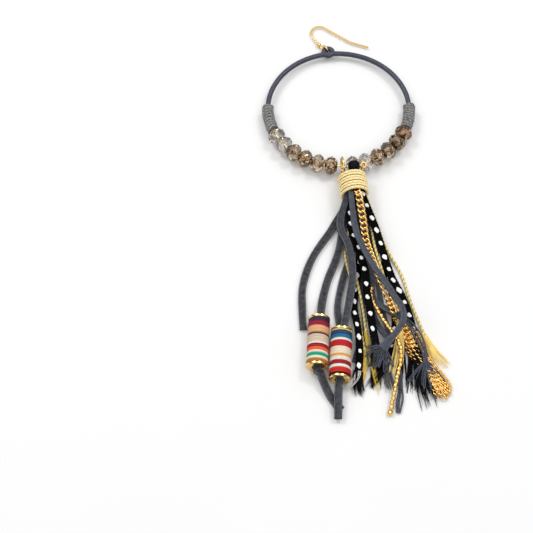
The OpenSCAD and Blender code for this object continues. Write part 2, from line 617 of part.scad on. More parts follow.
module wound_bead(b) {
    turn_l = wound_l / wound_turns;
    groove = 0.12;
    color("indianred") on_wound_bead(b) translate([rim_l + gap, 0, 0]) rotate([0, 90, 0]) difference() {
        rotate_extrude($fn = 64) polygon(concat([[0, 0]],
            [for (i = [0:wound_turns - 1]) each [[wound_d / 2 - groove, i * turn_l],
                [wound_d / 2, (i + 0.25) * turn_l], [wound_d / 2, (i + 0.75) * turn_l]]],
            [[wound_d / 2 - groove, wound_l], [0, wound_l]]));
        translate([0, 0, -1]) cylinder(h = wound_l + 2, r = wound_bore / 2);
    }
}

module rim(b, from) {
    round_r = 0.25;
    color("gold") on_wound_bead(b) translate([from, 0, 0]) rotate([0, 90, 0]) difference() {
        rotate_extrude($fn = 64) polygon([[0, 0], [wound_d / 2 - round_r, 0], [wound_d / 2, round_r],
            [wound_d / 2, rim_l - round_r], [wound_d / 2 - round_r, rim_l], [0, rim_l]]);
        translate([0, 0, -1]) cylinder(h = rim_l + 2, r = wound_bore / 2);
    }
}
rim_bottom = rim_l + wound_l + 2 * gap;

ear_hook();
hoop_wire();
hoop_leather();
left_winding();
right_winding();
for (i = [1:2 * side_beads]) glass_bead(i);
drop_ring();
link_ring();
bead_pin();
black_bead();
cap_eye();
cap_winding();
suede_fringe();
dotted_ribbons();
gold_cords();
curb_chain();
ball_chain();
fine_chains();
wound_bead(1);  // wound_bead_1
wound_bead(2);  // wound_bead_2
rim(1, 0);  // rim_1_top
rim(1, rim_bottom);  // rim_1_bottom
rim(2, 0);  // rim_2_top
rim(2, rim_bottom);  // rim_2_bottom
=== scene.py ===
import random
from math import atan2, cos, pi, radians, sin, sqrt, tan, tau

import bpy
from bpy.props import FloatProperty, FloatVectorProperty, IntProperty, PointerProperty
from mathutils import Matrix, Vector


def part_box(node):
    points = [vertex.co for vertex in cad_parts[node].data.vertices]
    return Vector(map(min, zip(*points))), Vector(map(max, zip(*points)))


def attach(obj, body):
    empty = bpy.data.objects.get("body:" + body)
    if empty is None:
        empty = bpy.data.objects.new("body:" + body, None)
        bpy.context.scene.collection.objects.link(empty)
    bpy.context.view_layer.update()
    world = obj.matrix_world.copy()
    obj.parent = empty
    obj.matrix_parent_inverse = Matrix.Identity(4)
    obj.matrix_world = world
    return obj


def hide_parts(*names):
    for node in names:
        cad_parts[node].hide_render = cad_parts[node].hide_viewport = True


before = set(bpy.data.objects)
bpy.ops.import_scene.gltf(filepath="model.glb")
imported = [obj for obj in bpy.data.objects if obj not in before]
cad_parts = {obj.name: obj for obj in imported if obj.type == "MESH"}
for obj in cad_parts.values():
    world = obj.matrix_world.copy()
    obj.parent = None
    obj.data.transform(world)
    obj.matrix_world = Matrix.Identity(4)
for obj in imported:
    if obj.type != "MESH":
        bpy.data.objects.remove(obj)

bl_info = {
    "name": "Tassel Earring",
    "version": (1, 0, 0),
    "blender": (4, 5, 0),
    "location": "3D View > Sidebar > Earring",
    "description": "Dresses the packed model of a tassel earring with its threads, chains, suede and finishes",
    "category": "Add Mesh",
}

# A millimetre in metres, and a metre in millimetres
MM, METRE = 0.001, 1000
UP = Vector((0, 0, 1))
SMOOTH_ANGLE = radians(40)
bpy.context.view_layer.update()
CAP_LOW, CAP_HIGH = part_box("cap_winding")
CAP_R = (CAP_HIGH[0] - CAP_LOW[0]) / 2 / MM
MOUTH_Y = CAP_LOW[1] / MM
CAP_TOP_Y = CAP_HIGH[1] / MM
BEAD_LOW, BEAD_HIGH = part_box("wound_bead_1")
WOUND_R = (BEAD_HIGH[2] - BEAD_LOW[2]) / 2 / MM

# The tassel's sizes in millimetres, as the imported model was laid
TASSEL_L = 93.0
FAN = 30.0
STATIONS = 30
STATION_L = TASSEL_L / STATIONS
BRIDGE = 0.3
LAY_GAP = 0.25
# How much narrower the strands are in the cap's mouth, and over what length they widen
GATHER, GATHER_L = 0.75, 10
# Share of a fray at which it is widest, the way that counts as touching and the room round a bead
FLARE_AT, TOUCH, BEAD_ROOM = 0.6, 0.1, 1
CAP_BORE_R = CAP_R - 0.8
WOUND_WHOLE = 20.6
WOUND_BEADS = [(0.555, -0.71, -10.5), (0.62, -0.455, -10.5)]

# The hoop's circle and the windings on it: angle of the middle from the tassel's line, length
HOOP_MIDDLE = Vector((0, 45.664, 3.446))
HOOP_R = 29.0
HOOP_LEAN = radians(1.613)
WINDINGS = (("left_winding", -86.19, 12.6), ("right_winding", 74.0, 11.6))

SUEDE, RIBBON, CORD, CURB, BALL, BUNDLE = "suede", "ribbon", "cord", "curb", "ball", "bundle"
FULL_W = {SUEDE: 3.0, RIBBON: 3.1, CORD: 1.2, CURB: 3.0, BALL: 1.6, BUNDLE: 2.4}
FULL_T = {SUEDE: 1.4, RIBBON: 0.7, CORD: 1.2, CURB: 2.58, BALL: 1.6, BUNDLE: 1.3}
BUNDLE_END_W = 6.9

# The strands, the lowest first. Columns: name, kind, start, end and fray as shares of the
# tassel's length, share of the kind's width, the fray's width as a share of the fan, the wound
# bead that it threads, height in the cap's mouth as a share of its bore, and places across at
# the tassel's eighths as shares of the fan
STRANDS = [
    ("short_left", SUEDE, 0, 0.61, 0, 0.85, 0, 0, -0.76, (-0.033, -0.075, -0.17, -0.33, -0.45, -0.46)),
    ("under_long", SUEDE, 0, 0.99, 0, 0.66, 0, 0, -0.76,
     (0.033, 0.09, 0.14, 0.13, 0.11, 0.13, 0.17, 0.16, 0.07)),
    ("under_mid", SUEDE, 0, 0.75, 0, 0.55, 0, 0, -0.46, (0, 0, -0.01, -0.09, -0.13, -0.17, -0.36)),
    ("far_left", SUEDE, 0, 0.58, 0, 0.95, 0, 0, -0.31, (-0.104, -0.36, -0.66, -0.84, -0.9, -0.93)),
    ("cord_left", CORD, 0, 0.7, 0.19, 1, 0.14, 0, -0.48,
     (-0.045, -0.125, -0.24, -0.23, -0.2, -0.21, -0.23, -0.34, -0.4)),
    ("bead_left", SUEDE, 0, 0.95, 0, 1, 0, 1, -0.04,
     (-0.1, -0.21, -0.33, -0.53, -0.66, -0.71, -0.8, -0.73, -0.52)),
    ("ribbon_low_left", RIBBON, 0.22, 0.8, 0.09, 0.9, 0.14, 0, -1,
     (-0.03, -0.04, -0.05, -0.14, -0.24, -0.25, -0.29, -0.4, -0.48)),
    ("ribbon_low_right", RIBBON, 0.3, 0.76, 0.1, 0.9, 0.17, 0, -1,
     (0.1, 0.17, 0.23, 0.27, 0.27, 0.22, 0.07, -0.18, -0.3)),
    ("cord_low", CORD, 0.25, 0.63, 0.17, 1, 0.14, 0, -1,
     (-0.12, -0.2, -0.23, -0.17, -0.14, -0.15, -0.17, -0.2, -0.2)),
    ("under_right", SUEDE, 0, 0.7, 0, 0.66, 0, 0, -0.54, (0.09, 0.17, 0.17, 0.08, -0.02, 0.04, 0.22)),
    ("fine_bundle", BUNDLE, 0.5, 0.93, 0, 1, 0, 0, -1, (0.1, 0.14, 0.18, 0.22, 0.26, 0.34, 0.46, 0.61, 0.7)),
    ("cord_mid", CORD, 0, 0.62, 0.24, 1, 0.17, 0, -0.24, (0.11, 0.15, 0.145, 0.19, 0.27, 0.27, 0.2, 0.1, 0)),
    ("cord_right", CORD, 0, 0.66, 0.19, 1, 0.17, 0, 0.03,
     (0.14, 0.23, 0.31, 0.43, 0.48, 0.55, 0.64, 0.79, 0.9)),
    ("ribbon_right", RIBBON, 0, 0.72, 0.22, 1, 0.2, 0, 0.25,
     (0.1, 0.175, 0.222, 0.29, 0.395, 0.42, 0.43, 0.44, 0.45)),
    ("fringe_right", SUEDE, 0, 0.8, 0.13, 0.77, 0.19, 0, -0.16,
     (0.03, 0.055, 0.05, 0.05, 0.03, 0.38, 0.52, 0.46, 0.46)),
    ("nugget_chain", BALL, 0.3, 1, 0, 1, 0, 0, -1, (0.02, 0.05, 0.06, 0.05, -0.02, 0.12, 0.22, 0.1, -0.04)),
    ("bead_right", SUEDE, 0, 0.99, 0, 1, 0, 2, 0.22,
     (-0.113, -0.25, -0.2, -0.205, -0.31, -0.44, -0.52, -0.61, -0.67)),
    ("ribbon_left", RIBBON, 0, 0.68, 0.08, 1, 0.14, 0, 0.1,
     (-0.02, -0.125, -0.065, -0.05, -0.07, -0.07, -0.07, -0.08, -0.1)),
    ("curb", CURB, 0, 0.6, 0, 1, 0, 0, 0.6, (0.02, 0.035, 0.04, 0.085, 0.185, 0.22)),
    ("top_curl", SUEDE, 0, 0.69, 0.08, 0.77, 0.13, 0, 0.52, (-0.063, -0.08, -0.045, 0.05, 0.24, 0.31, -0.04)),
]


class Strand:
    """One strand of the tassel: its place across, its width and, once it is laid, its heights."""

    # How far a strand goes into the cap, in millimetres
    IN_CAP = 1.8

    def __init__(self, name, kind, start, end, fray, wide, fray_w, threads, lift, across):
        self.name, self.kind, self.start, self.end, self.fray = name, kind, start, end, fray
        self.full_w, self.fray_w, self.threads, self.lift = FULL_W[kind] * wide, fray_w * FAN, threads, lift
        self.places = across
        self.heights = []
        self.reach = end + fray
        self.from_v, self.to_v = start * TASSEL_L, self.reach * TASSEL_L
        self.top_v = self.from_v if start else -self.IN_CAP
        self.frays_v = end * TASSEL_L

    def held(self, i):
        if i < 0:
            return self.places[0]
        if i < len(self.places):
            return self.places[i]
        return self.places[-1] + (i - len(self.places) + 1) * (self.places[-1] - self.places[-2])

    def in_bead(self, v):
        if not self.threads:
            return False
        start = WOUND_BEADS[self.threads - 1][0] * TASSEL_L
        return start - BEAD_ROOM < v < start + WOUND_WHOLE + BEAD_ROOM

    def across(self, v):
        if self.in_bead(v):
            start, side, lean = WOUND_BEADS[self.threads - 1]
            return side * FAN + (v - start * TASSEL_L) * tan(radians(lean))
        t = min(max(8 * v / TASSEL_L, 0), 7.999)
        i, f = int(t), t - int(t)
        a, b, c, d = (self.held(i + k) for k in (-1, 0, 1, 2))
        return FAN * 0.5 * (2 * b + (c - a) * f + (2 * a - 5 * b + 4 * c - d) * f * f
                            + (3 * b - a - 3 * c + d) * f ** 3)

    def slant(self, v):
        return (self.across(v + 1) - self.across(v - 1)) / 2

    def frayed(self, v):
        return min(max((v / TASSEL_L - self.end) / self.fray, 0), 1) if self.fray else 0

    def width(self, v):
        f = self.frayed(v)
        flare = f / FLARE_AT if f < FLARE_AT else 1 - (f - FLARE_AT) / (1 - FLARE_AT) * 0.5
        if self.kind == BUNDLE:
            share = min(max((v / TASSEL_L - self.start) * 4, 0), 1)
            return self.full_w + (BUNDLE_END_W - self.full_w) * share
        if self.kind in (CURB, BALL) or self.kind == CORD and f == 0:
            return self.full_w
        if self.kind == CORD:
            return max(self.full_w * (1 - f), self.fray_w * flare)
        if f == 0:
            return self.full_w * min(max(GATHER + (1 - GATHER) * v / GATHER_L, GATHER), 1)
        return self.full_w + (self.fray_w - self.full_w) * flare

    def thickness(self, v):
        return FULL_T[self.kind] + (1 - FULL_T[self.kind]) * self.frayed(v)

    def is_there(self, k):
        return self.start * STATIONS - 1 <= k <= self.reach * STATIONS + 1

    def height(self, v):
        if self.in_bead(v):
            return WOUND_R
        t = min(max(v / STATION_L, 0), STATIONS - 0.001)
        k, f = int(t), t - int(t)
        line = self.heights[k] + (self.heights[k + 1] - self.heights[k]) * f
        return max(self.thickness(v) / 2, line)

    def eased_height(self, v):
        """The height, rounded off where the strand starts or stops to climb."""
        if self.in_bead(v):
            return WOUND_R
        spans = (-1.6, -0.8, 0, 0.8, 1.6)
        return sum(self.height(max(v + s, 0)) for s in spans) / len(spans)

    def ring(self, v):
        """Centre, heading to the side, width and thickness, v millimetres from the cap's mouth. Inside
        the cap, where v is negative, the strand runs straight."""
        out = max(v, 0)
        side = Vector((1, self.slant(out), 0)).normalized()
        centre = Vector((self.across(out), MOUTH_Y - v, self.eased_height(out)))
        return centre, side, self.width(out), self.thickness(out)


def lay_strands():
    """Lays each strand over those below it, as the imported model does."""
    done = []
    for row in STRANDS:
        s = Strand(*row)
        s.outline = []
        for h in range(2 * STATIONS + 1):
            v = h * STATION_L / 2
            s.outline.append((s.across(v), s.width(v) / 2 * sqrt(1 + s.slant(v) ** 2)))
        raw = []
        for k in range(STATIONS + 1):
            v = k * STATION_L
            best = WOUND_R if s.in_bead(v) else s.thickness(v) / 2
            for d in done:
                near = range(max(0, 2 * k - 1), min(2 * STATIONS, 2 * k + 1) + 1)
                meets = min(abs(s.outline[h][0] - d.outline[h][0]) - s.outline[h][1] - d.outline[h][1]
                            for h in near) < TOUCH
                if s.is_there(k) and d.is_there(k) and meets:
                    best = max(best, d.heights[k] + (d.thickness(v) + s.thickness(v)) / 2 + LAY_GAP)
            raw.append(best)
        mouth = CAP_R + s.lift * CAP_BORE_R if s.start == 0 else 0
        for k in range(STATIONS + 1):
            eased = [raw[m] - BRIDGE * STATION_L * abs(k - m) for m in range(1, STATIONS + 1)
                     if s.is_there(m) or m == k]
            s.heights.append(mouth if k == 0 and s.start == 0 else
                             WOUND_R if s.in_bead(k * STATION_L) else
                             max([mouth - BRIDGE * STATION_L * k] + eased))
        done.append(s)
    return {s.name: s for s in done}


TASSEL = lay_strands()


def of_kind(kind):
    return [s for s in TASSEL.values() if s.kind == kind]


def stops(start, end, step):
    """Evenly spaced places from start to end."""
    count = max(2, int(round((end - start) / step)) + 1)
    return [start + (end - start) * i / (count - 1) for i in range(count)]


def outlined(top):
    """A strand's whole outline, from its upper half."""
    return top + tuple((a, -b) for a, b in reversed(top) if b)


def lengths(route):
    """Length of a route up to each of its points."""
    runs = [0.0]
    for a, b in zip(route, route[1:]):
        runs.append(runs[-1] + (b - a).length)
    return runs


def turned(side):
    """A level heading, turned a quarter to the right."""
    return Vector((side.y, -side.x, 0))


def row_place(n, count, share=0.5):
    """Place of one of a row of things, from -1 at its left to 1 at its right."""
    return (n + share) / count * 2 - 1


# Tools that more than one piece uses

def deselect():
    bpy.ops.object.select_all(action="DESELECT")


def finish_piece(piece, name, material, slot_name, *nodes):
    """Names a finished piece, gives it its material, hangs it from the root and hides the CAD nodes that it stands
    for.
    """
    piece.name = name
    piece.data.name = name
    piece.data.materials.clear()
    piece.data.materials.append(material)
    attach(piece, "root")
    if nodes:
        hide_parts(*nodes)


def join(pieces):
    deselect()
    for piece in pieces:
        piece.select_set(True)
    bpy.context.view_layer.objects.active = pieces[0]
    if len(pieces) > 1:
        bpy.ops.object.join()
    return bpy.context.object


def place_mesh():
    """Puts the active object's place in its mesh."""
    bpy.ops.object.transform_apply(location=True, rotation=True, scale=True)
    return bpy.context.object


def wires(routes, radius, sides=6, ring=False, tones=None):
    """Round wires in one mesh. A route is a list of points in millimetres, each with an
    optional fourth number that thins the wire there. Each route may have a tone of its own."""
    deselect()
    bpy.ops.curve.primitive_bezier_curve_add()
    data = bpy.context.object.data
    data.splines.clear()
    data.dimensions = "3D"
    data.fill_mode = "FULL"
    data.bevel_depth = radius * MM
    data.bevel_resolution = max(0, sides // 2 - 2)
    data.use_fill_caps = not ring
    for route in routes:
        spline = data.splines.new("POLY")
        spline.points.add(len(route) - 1)
        for point, place in zip(spline.points, route):
            point.co = (place[0] * MM, place[1] * MM, place[2] * MM, 1)
            point.radius = place[3] if len(place) > 3 else 1
        spline.use_cyclic_u = ring
    around = 4 + 2 * data.bevel_resolution
    bpy.ops.object.convert(target="MESH")
    bpy.ops.object.shade_smooth()
    mesh = bpy.context.object.data
    if tones:
        tone = mesh.attributes.new("tone", "FLOAT", "POINT")
        spare = (len(mesh.vertices) - around * sum(len(route) for route in routes)) // len(routes)
        values = []
        for route, value in zip(routes, tones):
            values += [value] * (around * len(route) + spare)
        tone.data.foreach_set("value", values)
    return bpy.context.object


def shell(cols, rows, place, run):
    """A closed tube from a grid that is rolled up. The function place gives the point of a column
    and a row in millimetres, and its edge and tone. The UV map runs round the tube and, in
    millimetres, along it."""
    deselect()
    bpy.ops.mesh.primitive_grid_add(x_subdivisions=cols, y_subdivisions=rows - 1, size=2, calc_uvs=True)
    piece = bpy.context.object
    mesh = piece.data
    edge = mesh.attributes.new("edge", "FLOAT", "POINT")
    tone = mesh.attributes.new("tone", "FLOAT", "POINT")
    for vertex in mesh.vertices:
        i = int(round((vertex.co.x + 1) / 2 * cols)) % cols
        j = int(round((vertex.co.y + 1) / 2 * (rows - 1)))
        point, edge_here, tone_here = place(i, j)
        vertex.co = point * MM
        edge.data[vertex.index].value = edge_here
        tone.data[vertex.index].value = tone_here
    for loop in mesh.uv_layers.active.data:
        loop.uv.y = run[min(rows - 1, int(round(loop.uv.y * (rows - 1))))]
    bpy.ops.object.mode_set(mode="EDIT")
    bpy.ops.mesh.select_all(action="SELECT")
    bpy.ops.mesh.remove_doubles(threshold=1e-6)
    bpy.ops.mesh.select_all(action="DESELECT")
    bpy.ops.mesh.select_non_manifold(extend=False)
    bpy.ops.mesh.fill_holes(sides=0)
    bpy.ops.mesh.select_all(action="SELECT")
    bpy.ops.mesh.normals_make_consistent(inside=False)
    bpy.ops.object.mode_set(mode="OBJECT")
    bpy.ops.object.shade_smooth_by_angle(angle=SMOOTH_ANGLE)
    return piece


def sweep(rings, outline, tones=(0.0, 0.0)):
    """A closed strand along its route. A ring is centre, side, width, thickness and, if the strand
    is rolled, its way up; the outline's points are shares of half the width and half the
    thickness. The tones are those of its left and its right."""

    def place(i, j):
        centre, side, width, thick, *rolled = rings[j]
        up = rolled[0] if rolled else UP
        a, b = outline[i]
        # The edge attribute is 1 on the rounded corners, where the suede's material paints a highlight
        return (centre + side * a * width / 2 + up * b * thick / 2, 1.0 if 0.9 < abs(a) < 1 else 0.0,
                tones[0] if a < -0.3 else tones[1])

    return shell(len(outline), len(rings), place, lengths([ring[0] for ring in rings]))


# Materials

class Nodes:
    """A node tree that is being built. A socket that is given as an input's value is linked to it."""

    def __init__(self, tree):
        self.nodes, self.links = tree.nodes, tree.links

    def feed(self, socket, value):
        if isinstance(value, bpy.types.NodeSocket):
            self.links.new(value, socket)
        else:
            socket.default_value = (*value, 1) if socket.type == "RGBA" else value

    def add(self, kind, inputs=None, **settings):
        node = self.nodes.new(kind)
        for label, value in settings.items():
            setattr(node, label, value)
        for label, value in (inputs or {}).items():
            self.feed(node.inputs[label], value)
        return node

    def maths(self, operation, *values):
        return self.add("ShaderNodeMath", dict(enumerate(values)), operation=operation).outputs[0]

    def noise(self, place, scale, detail=2.0, roughness=0.5):
        inputs = {"Vector": place, "Scale": scale, "Detail": detail, "Roughness": roughness}
        return self.add("ShaderNodeTexNoise", inputs).outputs["Fac"]

    def spread(self, value, low, high, to_low=0.0, to_high=1.0):
        """A value that goes from to_low to to_high while the given one goes from low to high."""
        inputs = {"Value": value, "From Min": low, "From Max": high, "To Min": to_low, "To Max": to_high}
        return self.add("ShaderNodeMapRange", inputs).outputs["Result"]

    def mix(self, factor, first, second, blend="MIX"):
        """One colour mixed with another."""
        inputs = {"Factor": factor, 6: first, 7: second}
        return self.add("ShaderNodeMix", inputs, data_type="RGBA", blend_type=blend).outputs[2]

    def ramp(self, value, steps, interpolation="LINEAR"):
        """Colours by the value. A step is where its colour is reached, and the colour."""
        node = self.add("ShaderNodeValToRGB", {"Fac": value})
        node.color_ramp.interpolation = interpolation
        elements = node.color_ramp.elements
        for n, (place, colour) in enumerate(steps):
            element = elements[n] if n < 2 else elements.new(place)
            element.position = place
            element.color = (*colour, 1)
        return node.outputs["Color"]


def nap(made, given):
    """Fine, uneven relief of a given grain size, as a height."""
    scale = made.maths("DIVIDE", METRE, given["Grain mm"])
    fine = made.noise(given["Place"], scale, 4)
    broad = made.noise(given["Place"], made.maths("MULTIPLY", scale, 0.17))
    inputs = {"Factor": given["Unevenness"], "A": fine, "B": broad}
    return made.add("ShaderNodeMix", inputs).outputs["Result"]


def patches(made, given):
    """Two colours in soft blotches of a given size."""
    blot = made.noise(given["Place"], made.maths("DIVIDE", METRE, given["Size mm"]), 5, 0.65)
    share = made.maths("MULTIPLY", made.spread(blot, 0.35, 0.65), given["Contrast"])
    return made.mix(share, given["First"], given["Second"])


VECTOR, NUMBER, COLOUR = "NodeSocketVector", "NodeSocketFloat", "NodeSocketColor"
# Effects that materials share: what builds each, its inputs and what it puts out
EFFECTS = {
    "Nap": (nap, {"Place": VECTOR, "Grain mm": NUMBER, "Unevenness": NUMBER}, NUMBER),
    "Patches": (patches, {"Place": VECTOR, "Size mm": NUMBER, "Contrast": NUMBER, "First": COLOUR,
                          "Second": COLOUR}, COLOUR),
}


def effect_group(name):
    """The node group of a shared effect, built once."""
    if name in bpy.data.node_groups:
        return bpy.data.node_groups[name]
    build, inputs, result = EFFECTS[name]
    group = bpy.data.node_groups.new(name, "ShaderNodeTree")
    for label, kind in inputs.items():
        group.interface.new_socket(label, in_out="INPUT", socket_type=kind)
    group.interface.new_socket("Result", in_out="OUTPUT", socket_type=result)
    given = group.nodes.new("NodeGroupInput").outputs
    group.links.new(build(Nodes(group), given), group.nodes.new("NodeGroupOutput").inputs["Result"])
    return group


class Finish(Nodes):
    """A material that is being made, with numbers for its shader's inputs."""

    def __init__(self, name, **numbers):
        self.material = bpy.data.materials.new(name)
        self.material.use_nodes = True
        super().__init__(self.material.node_tree)
        self.shader = next(n for n in self.nodes if n.type == "BSDF_PRINCIPLED").inputs
        self.place = self.add("ShaderNodeTexCoord").outputs["Object"]
        for label, value in numbers.items():
            self.shader[label.replace("_", " ")].default_value = value

    def effect(self, name, inputs):
        return self.add("ShaderNodeGroup", {"Place": self.place, **inputs}, node_tree=effect_group(name)).outputs[0]

    def patches(self, first, second, size, contrast=1.0):
        return self.effect("Patches", {"Size mm": size, "Contrast": contrast, "First": first, "Second": second})

    def attribute(self, name):
        return self.add("ShaderNodeAttribute", attribute_name=name).outputs["Fac"]

    def uv(self):
        return self.add("ShaderNodeUVMap").outputs["UV"]

    def colour(self, output):
        self.feed(self.shader["Base Color"], output)
        return self

    def relief(self, grain, depth, strength=1.0, unevenness=0.4):
        return self.bump(self.effect("Nap", {"Grain mm": grain, "Unevenness": unevenness}), depth, strength)

    def bump(self, height, depth, strength=1.0):
        inputs = {"Distance": depth * MM, "Strength": strength, "Height": height}
        self.feed(self.shader["Normal"], self.add("ShaderNodeBump", inputs).outputs["Normal"])
        return self

    def threads(self, pitch, depth, dark, output):
        """Fine threads side by side along a tube's UV map: their relief, and painted shade in dark lines between
        them.
        """
        inputs = {"Vector": self.uv(), "Scale": pi / 10 / pitch, "Distortion": 1.5, "Detail Scale": 3}
        wave = self.add("ShaderNodeTexWave", inputs, bands_direction="Y").outputs["Fac"]
        # Painted shade: the wave's low parts, the grooves between threads, are darkened
        lines = self.mix(wave, (dark, dark, dark), (1, 1, 1))
        return self.colour(self.mix(1.0, output, lines, "MULTIPLY")).bump(wave, depth)

    def rough(self, low, high, size=1.0):
        self.feed(self.shader["Roughness"], self.spread(self.noise(self.place, METRE / size), 0, 1, low, high))
        return self


def blotched(name, *blotches, tone=None, rough=None, relief=None, **numbers):
    """A material in two colours, with a third one where the piece's tone is 1."""
    made = Finish(name, **numbers)
    body = made.patches(*blotches)
    made.colour(made.mix(made.attribute("tone"), body, tone) if tone else body)
    if rough:
        made.rough(*rough)
    if relief:
        made.relief(*relief)
    return made.material


def gold_finish(name, first, second, low, high):
    return blotched(name, first, second, 1.5, 0.7, rough=(low, high, 0.8), relief=(0.35, 0.012, 0.6), Metallic=1.0)


def thread_finish(name, first, second, shine=0.75, size=0.5, gloss=0.3):
    """Thread, whose tone of 1 is the second colour."""
    return blotched(name, first, second, size, 0.7, tone=second, relief=(0.09, 0.05, 0.9), Roughness=shine,
                    Specular_IOR_Level=gloss)


def length_property(label, text, value):
    return FloatProperty(name=label, description=text, default=value * MM, unit="LENGTH")


def count_property(label, text, value, least, most):
    return IntProperty(name=label, description=text, default=value, min=least, max=most)


def tint_property(label, text, value):
    return FloatVectorProperty(name=label, description=text, default=value, size=3, min=0, max=1, subtype="COLOR")


class EarringSizes(bpy.types.PropertyGroup):
    """Sizes of the threads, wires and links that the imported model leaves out."""

    ply_pitch: length_property("Ply pitch", "Length of one twist of a gold cord", 1.9)
    link_wire: length_property("Link wire", "Diameter of the curb chain's wire", 0.8)
    link_pitch: length_property("Link pitch", "Distance between the curb chain's links", 2.3)
    fine_wire: length_property("Fine wire", "Diameter of the fine chains' wire", 0.62)
    fibre: length_property("Fibre", "Diameter of a frayed fibre", 0.16)
    winding_turns: count_property("Winding turns", "Turns of thread in a winding of the hoop", 9, 4, 14)
    braid_turns: count_property("Braid turns", "Turns of braid in the cap", 7, 4, 9)
    braid_plies: count_property("Braid plies", "Plies in a turn of the cap's braid", 3, 2, 8)


class EarringColours(bpy.types.PropertyGroup):
    """Colours of the earring's materials."""

    gold: tint_property("Gold", "Gold wire and chains", (0.96, 0.65, 0.24))
    braid: tint_property("Braid", "Pale metallic braid of the cap", (1.0, 0.81, 0.4))
    suede_face: tint_property("Suede face", "Flat faces of the suede strips", (0.022, 0.022, 0.0235))
    suede_edge: tint_property("Suede edge", "Cut edges of the suede strips", (0.1, 0.112, 0.145))
    leather: tint_property("Leather", "Leather cord of the hoop", (0.03, 0.038, 0.066))
    thread: tint_property("Thread", "Thread wound over the cord's ends", (0.56, 0.55, 0.54))
    cord: tint_property("Cord", "Gold cords and their fibres", (1.0, 0.82, 0.32))
    ribbon: tint_property("Ribbon", "Ground of the dotted ribbons", (0.0015, 0.0015, 0.002))
    dots: tint_property("Dots", "Dots of the ribbons", (0.93, 0.93, 0.92))
    smoky: tint_property("Smoky glass", "Smoky beads", (0.6, 0.38, 0.17))
    clear: tint_property("Clear glass", "Clear beads", (0.97, 0.935, 0.9))


def sizes():
    return bpy.context.scene.earring_sizes


def tint(name):
    """One of the earring's colours."""
    return tuple(getattr(bpy.context.scene.earring_colours, name))


def darker(colour, share):
    return tuple(c * share for c in colour)


def dress(name, material):
    """Gives a CAD node its finished material."""
    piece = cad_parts[name]
    for slot in piece.material_slots:
        slot.material = material
    if not piece.material_slots:
        piece.data.materials.append(material)


class EARRING_OT_stage(bpy.types.Operator):
    """Lay the pale floor, hang the soft lights and set the camera"""
    bl_idname = "earring.stage"
    bl_label = "Stage"

    FLOOR = 3.0
    FLOOR_Z = -0.00002
    PALE = (0.78, 0.78, 0.78), (0.765, 0.765, 0.765)
    CAMERA_DISTANCE = 0.5442
    CAMERA_LENS = 94.81
    CAMERA_ELEVATION = radians(60.21)
    CAMERA_TURN = radians(6.11)
    CAMERA_ROLL = radians(-0.86)
    AIM = Vector((-0.0381, -0.0231, 0.0))
    # Lamps: place, size and power
    LAMPS = (((-0.5, 0.5, 0.9), 0.3, 3.0), ((0.5, 0.35, 0.9), 0.22, 2.4), ((0.1, -0.6, 1.0), 0.4, 1.2))
    # The studio's walls and ceiling: height of the direction, brightness
    ROOM = ((0.0, 0.02), (0.2, 0.08), (0.36, 0.5), (0.55, 1.0), (1.0, 1.1))

    def execute(self, context):
        deselect()
        bpy.ops.mesh.primitive_plane_add(size=self.FLOOR, location=(0, 0, self.FLOOR_Z))
        floor = context.object
        floor.name = "floor"
        floor.data.materials.append(blotched("pale_floor", *self.PALE, 300, Roughness=0.9, Specular_IOR_Level=0.1))
        for place, size, power in self.LAMPS:
            bpy.ops.object.light_add(type="AREA", location=place)
            lamp = context.object
            lamp.data.size = size
            lamp.data.energy = power
            lamp.rotation_euler = (-Vector(place)).to_track_quat("-Z", "Y").to_euler()
        self.room(context)
        turn = Matrix.Rotation(-self.CAMERA_TURN, 4, "Z")
        away = Vector((0, -cos(self.CAMERA_ELEVATION), sin(self.CAMERA_ELEVATION))) * self.CAMERA_DISTANCE
        stand = (turn @ Matrix.Rotation(pi / 2 - self.CAMERA_ELEVATION, 4, "X")
                 @ Matrix.Rotation(self.CAMERA_ROLL, 4, "Z"))
        bpy.ops.object.camera_add(location=self.AIM + turn @ away, rotation=stand.to_euler())
        camera = context.object
        camera.data.lens = self.CAMERA_LENS
        camera.data.clip_start = 0.01
        context.scene.camera = camera
        context.scene.view_settings.view_transform = "Standard"
        return {"FINISHED"}

    def room(self, context):
        """A room that is bright overhead and dark low down."""
        world = context.scene.world or bpy.data.worlds.new("studio")
        context.scene.world = world
        world.use_nodes = True
        made = Nodes(world.node_tree)
        way = made.add("ShaderNodeTexCoord").outputs["Generated"]
        height = made.add("ShaderNodeSeparateXYZ", {"Vector": way}).outputs["Z"]
        top = self.ROOM[-1][1]
        sky = made.nodes["Background"].inputs
        made.feed(sky["Color"], made.ramp(height, [(place, [bright / top] * 3) for place, bright in self.ROOM]))
        made.feed(sky["Strength"], top)


class EARRING_OT_metal(bpy.types.Operator):
    """Finish the ear hook, the hoop's wire, the rings, the pin and the beads' rims in gold"""
    bl_idname = "earring.metal"
    bl_label = "Gold Wire"

    NODES = ("ear_hook", "drop_ring", "link_ring", "bead_pin", "cap_eye",
             "rim_1_top", "rim_1_bottom", "rim_2_top", "rim_2_bottom")
    HOOP_GOLD = (0.92, 0.76, 0.48), (0.8, 0.64, 0.38)
    ROUGH = 0.12, 0.26

    def execute(self, context):
        gold = gold_finish("gold_wire", tint("gold"), darker(tint("gold"), 0.8), *self.ROUGH)
        for name in self.NODES:
            dress(name, gold)
        dress("hoop_wire", gold_finish("hoop_gold", *self.HOOP_GOLD, *self.ROUGH))
        return {"FINISHED"}


class EARRING_OT_leather(bpy.types.Operator):
    """Finish the leather cord of the hoop"""
    bl_idname = "earring.leather"
    bl_label = "Hoop Leather"

    def execute(self, context):
        hide = tint("leather")
        dress("hoop_leather", blotched("hoop_leather", hide, darker(hide, 0.45), 1.2, 0.9, rough=(0.25, 0.5, 0.8),
                                       relief=(0.5, 0.22, 1.0, 0.5), Specular_IOR_Level=0.6))
        return {"FINISHED"}


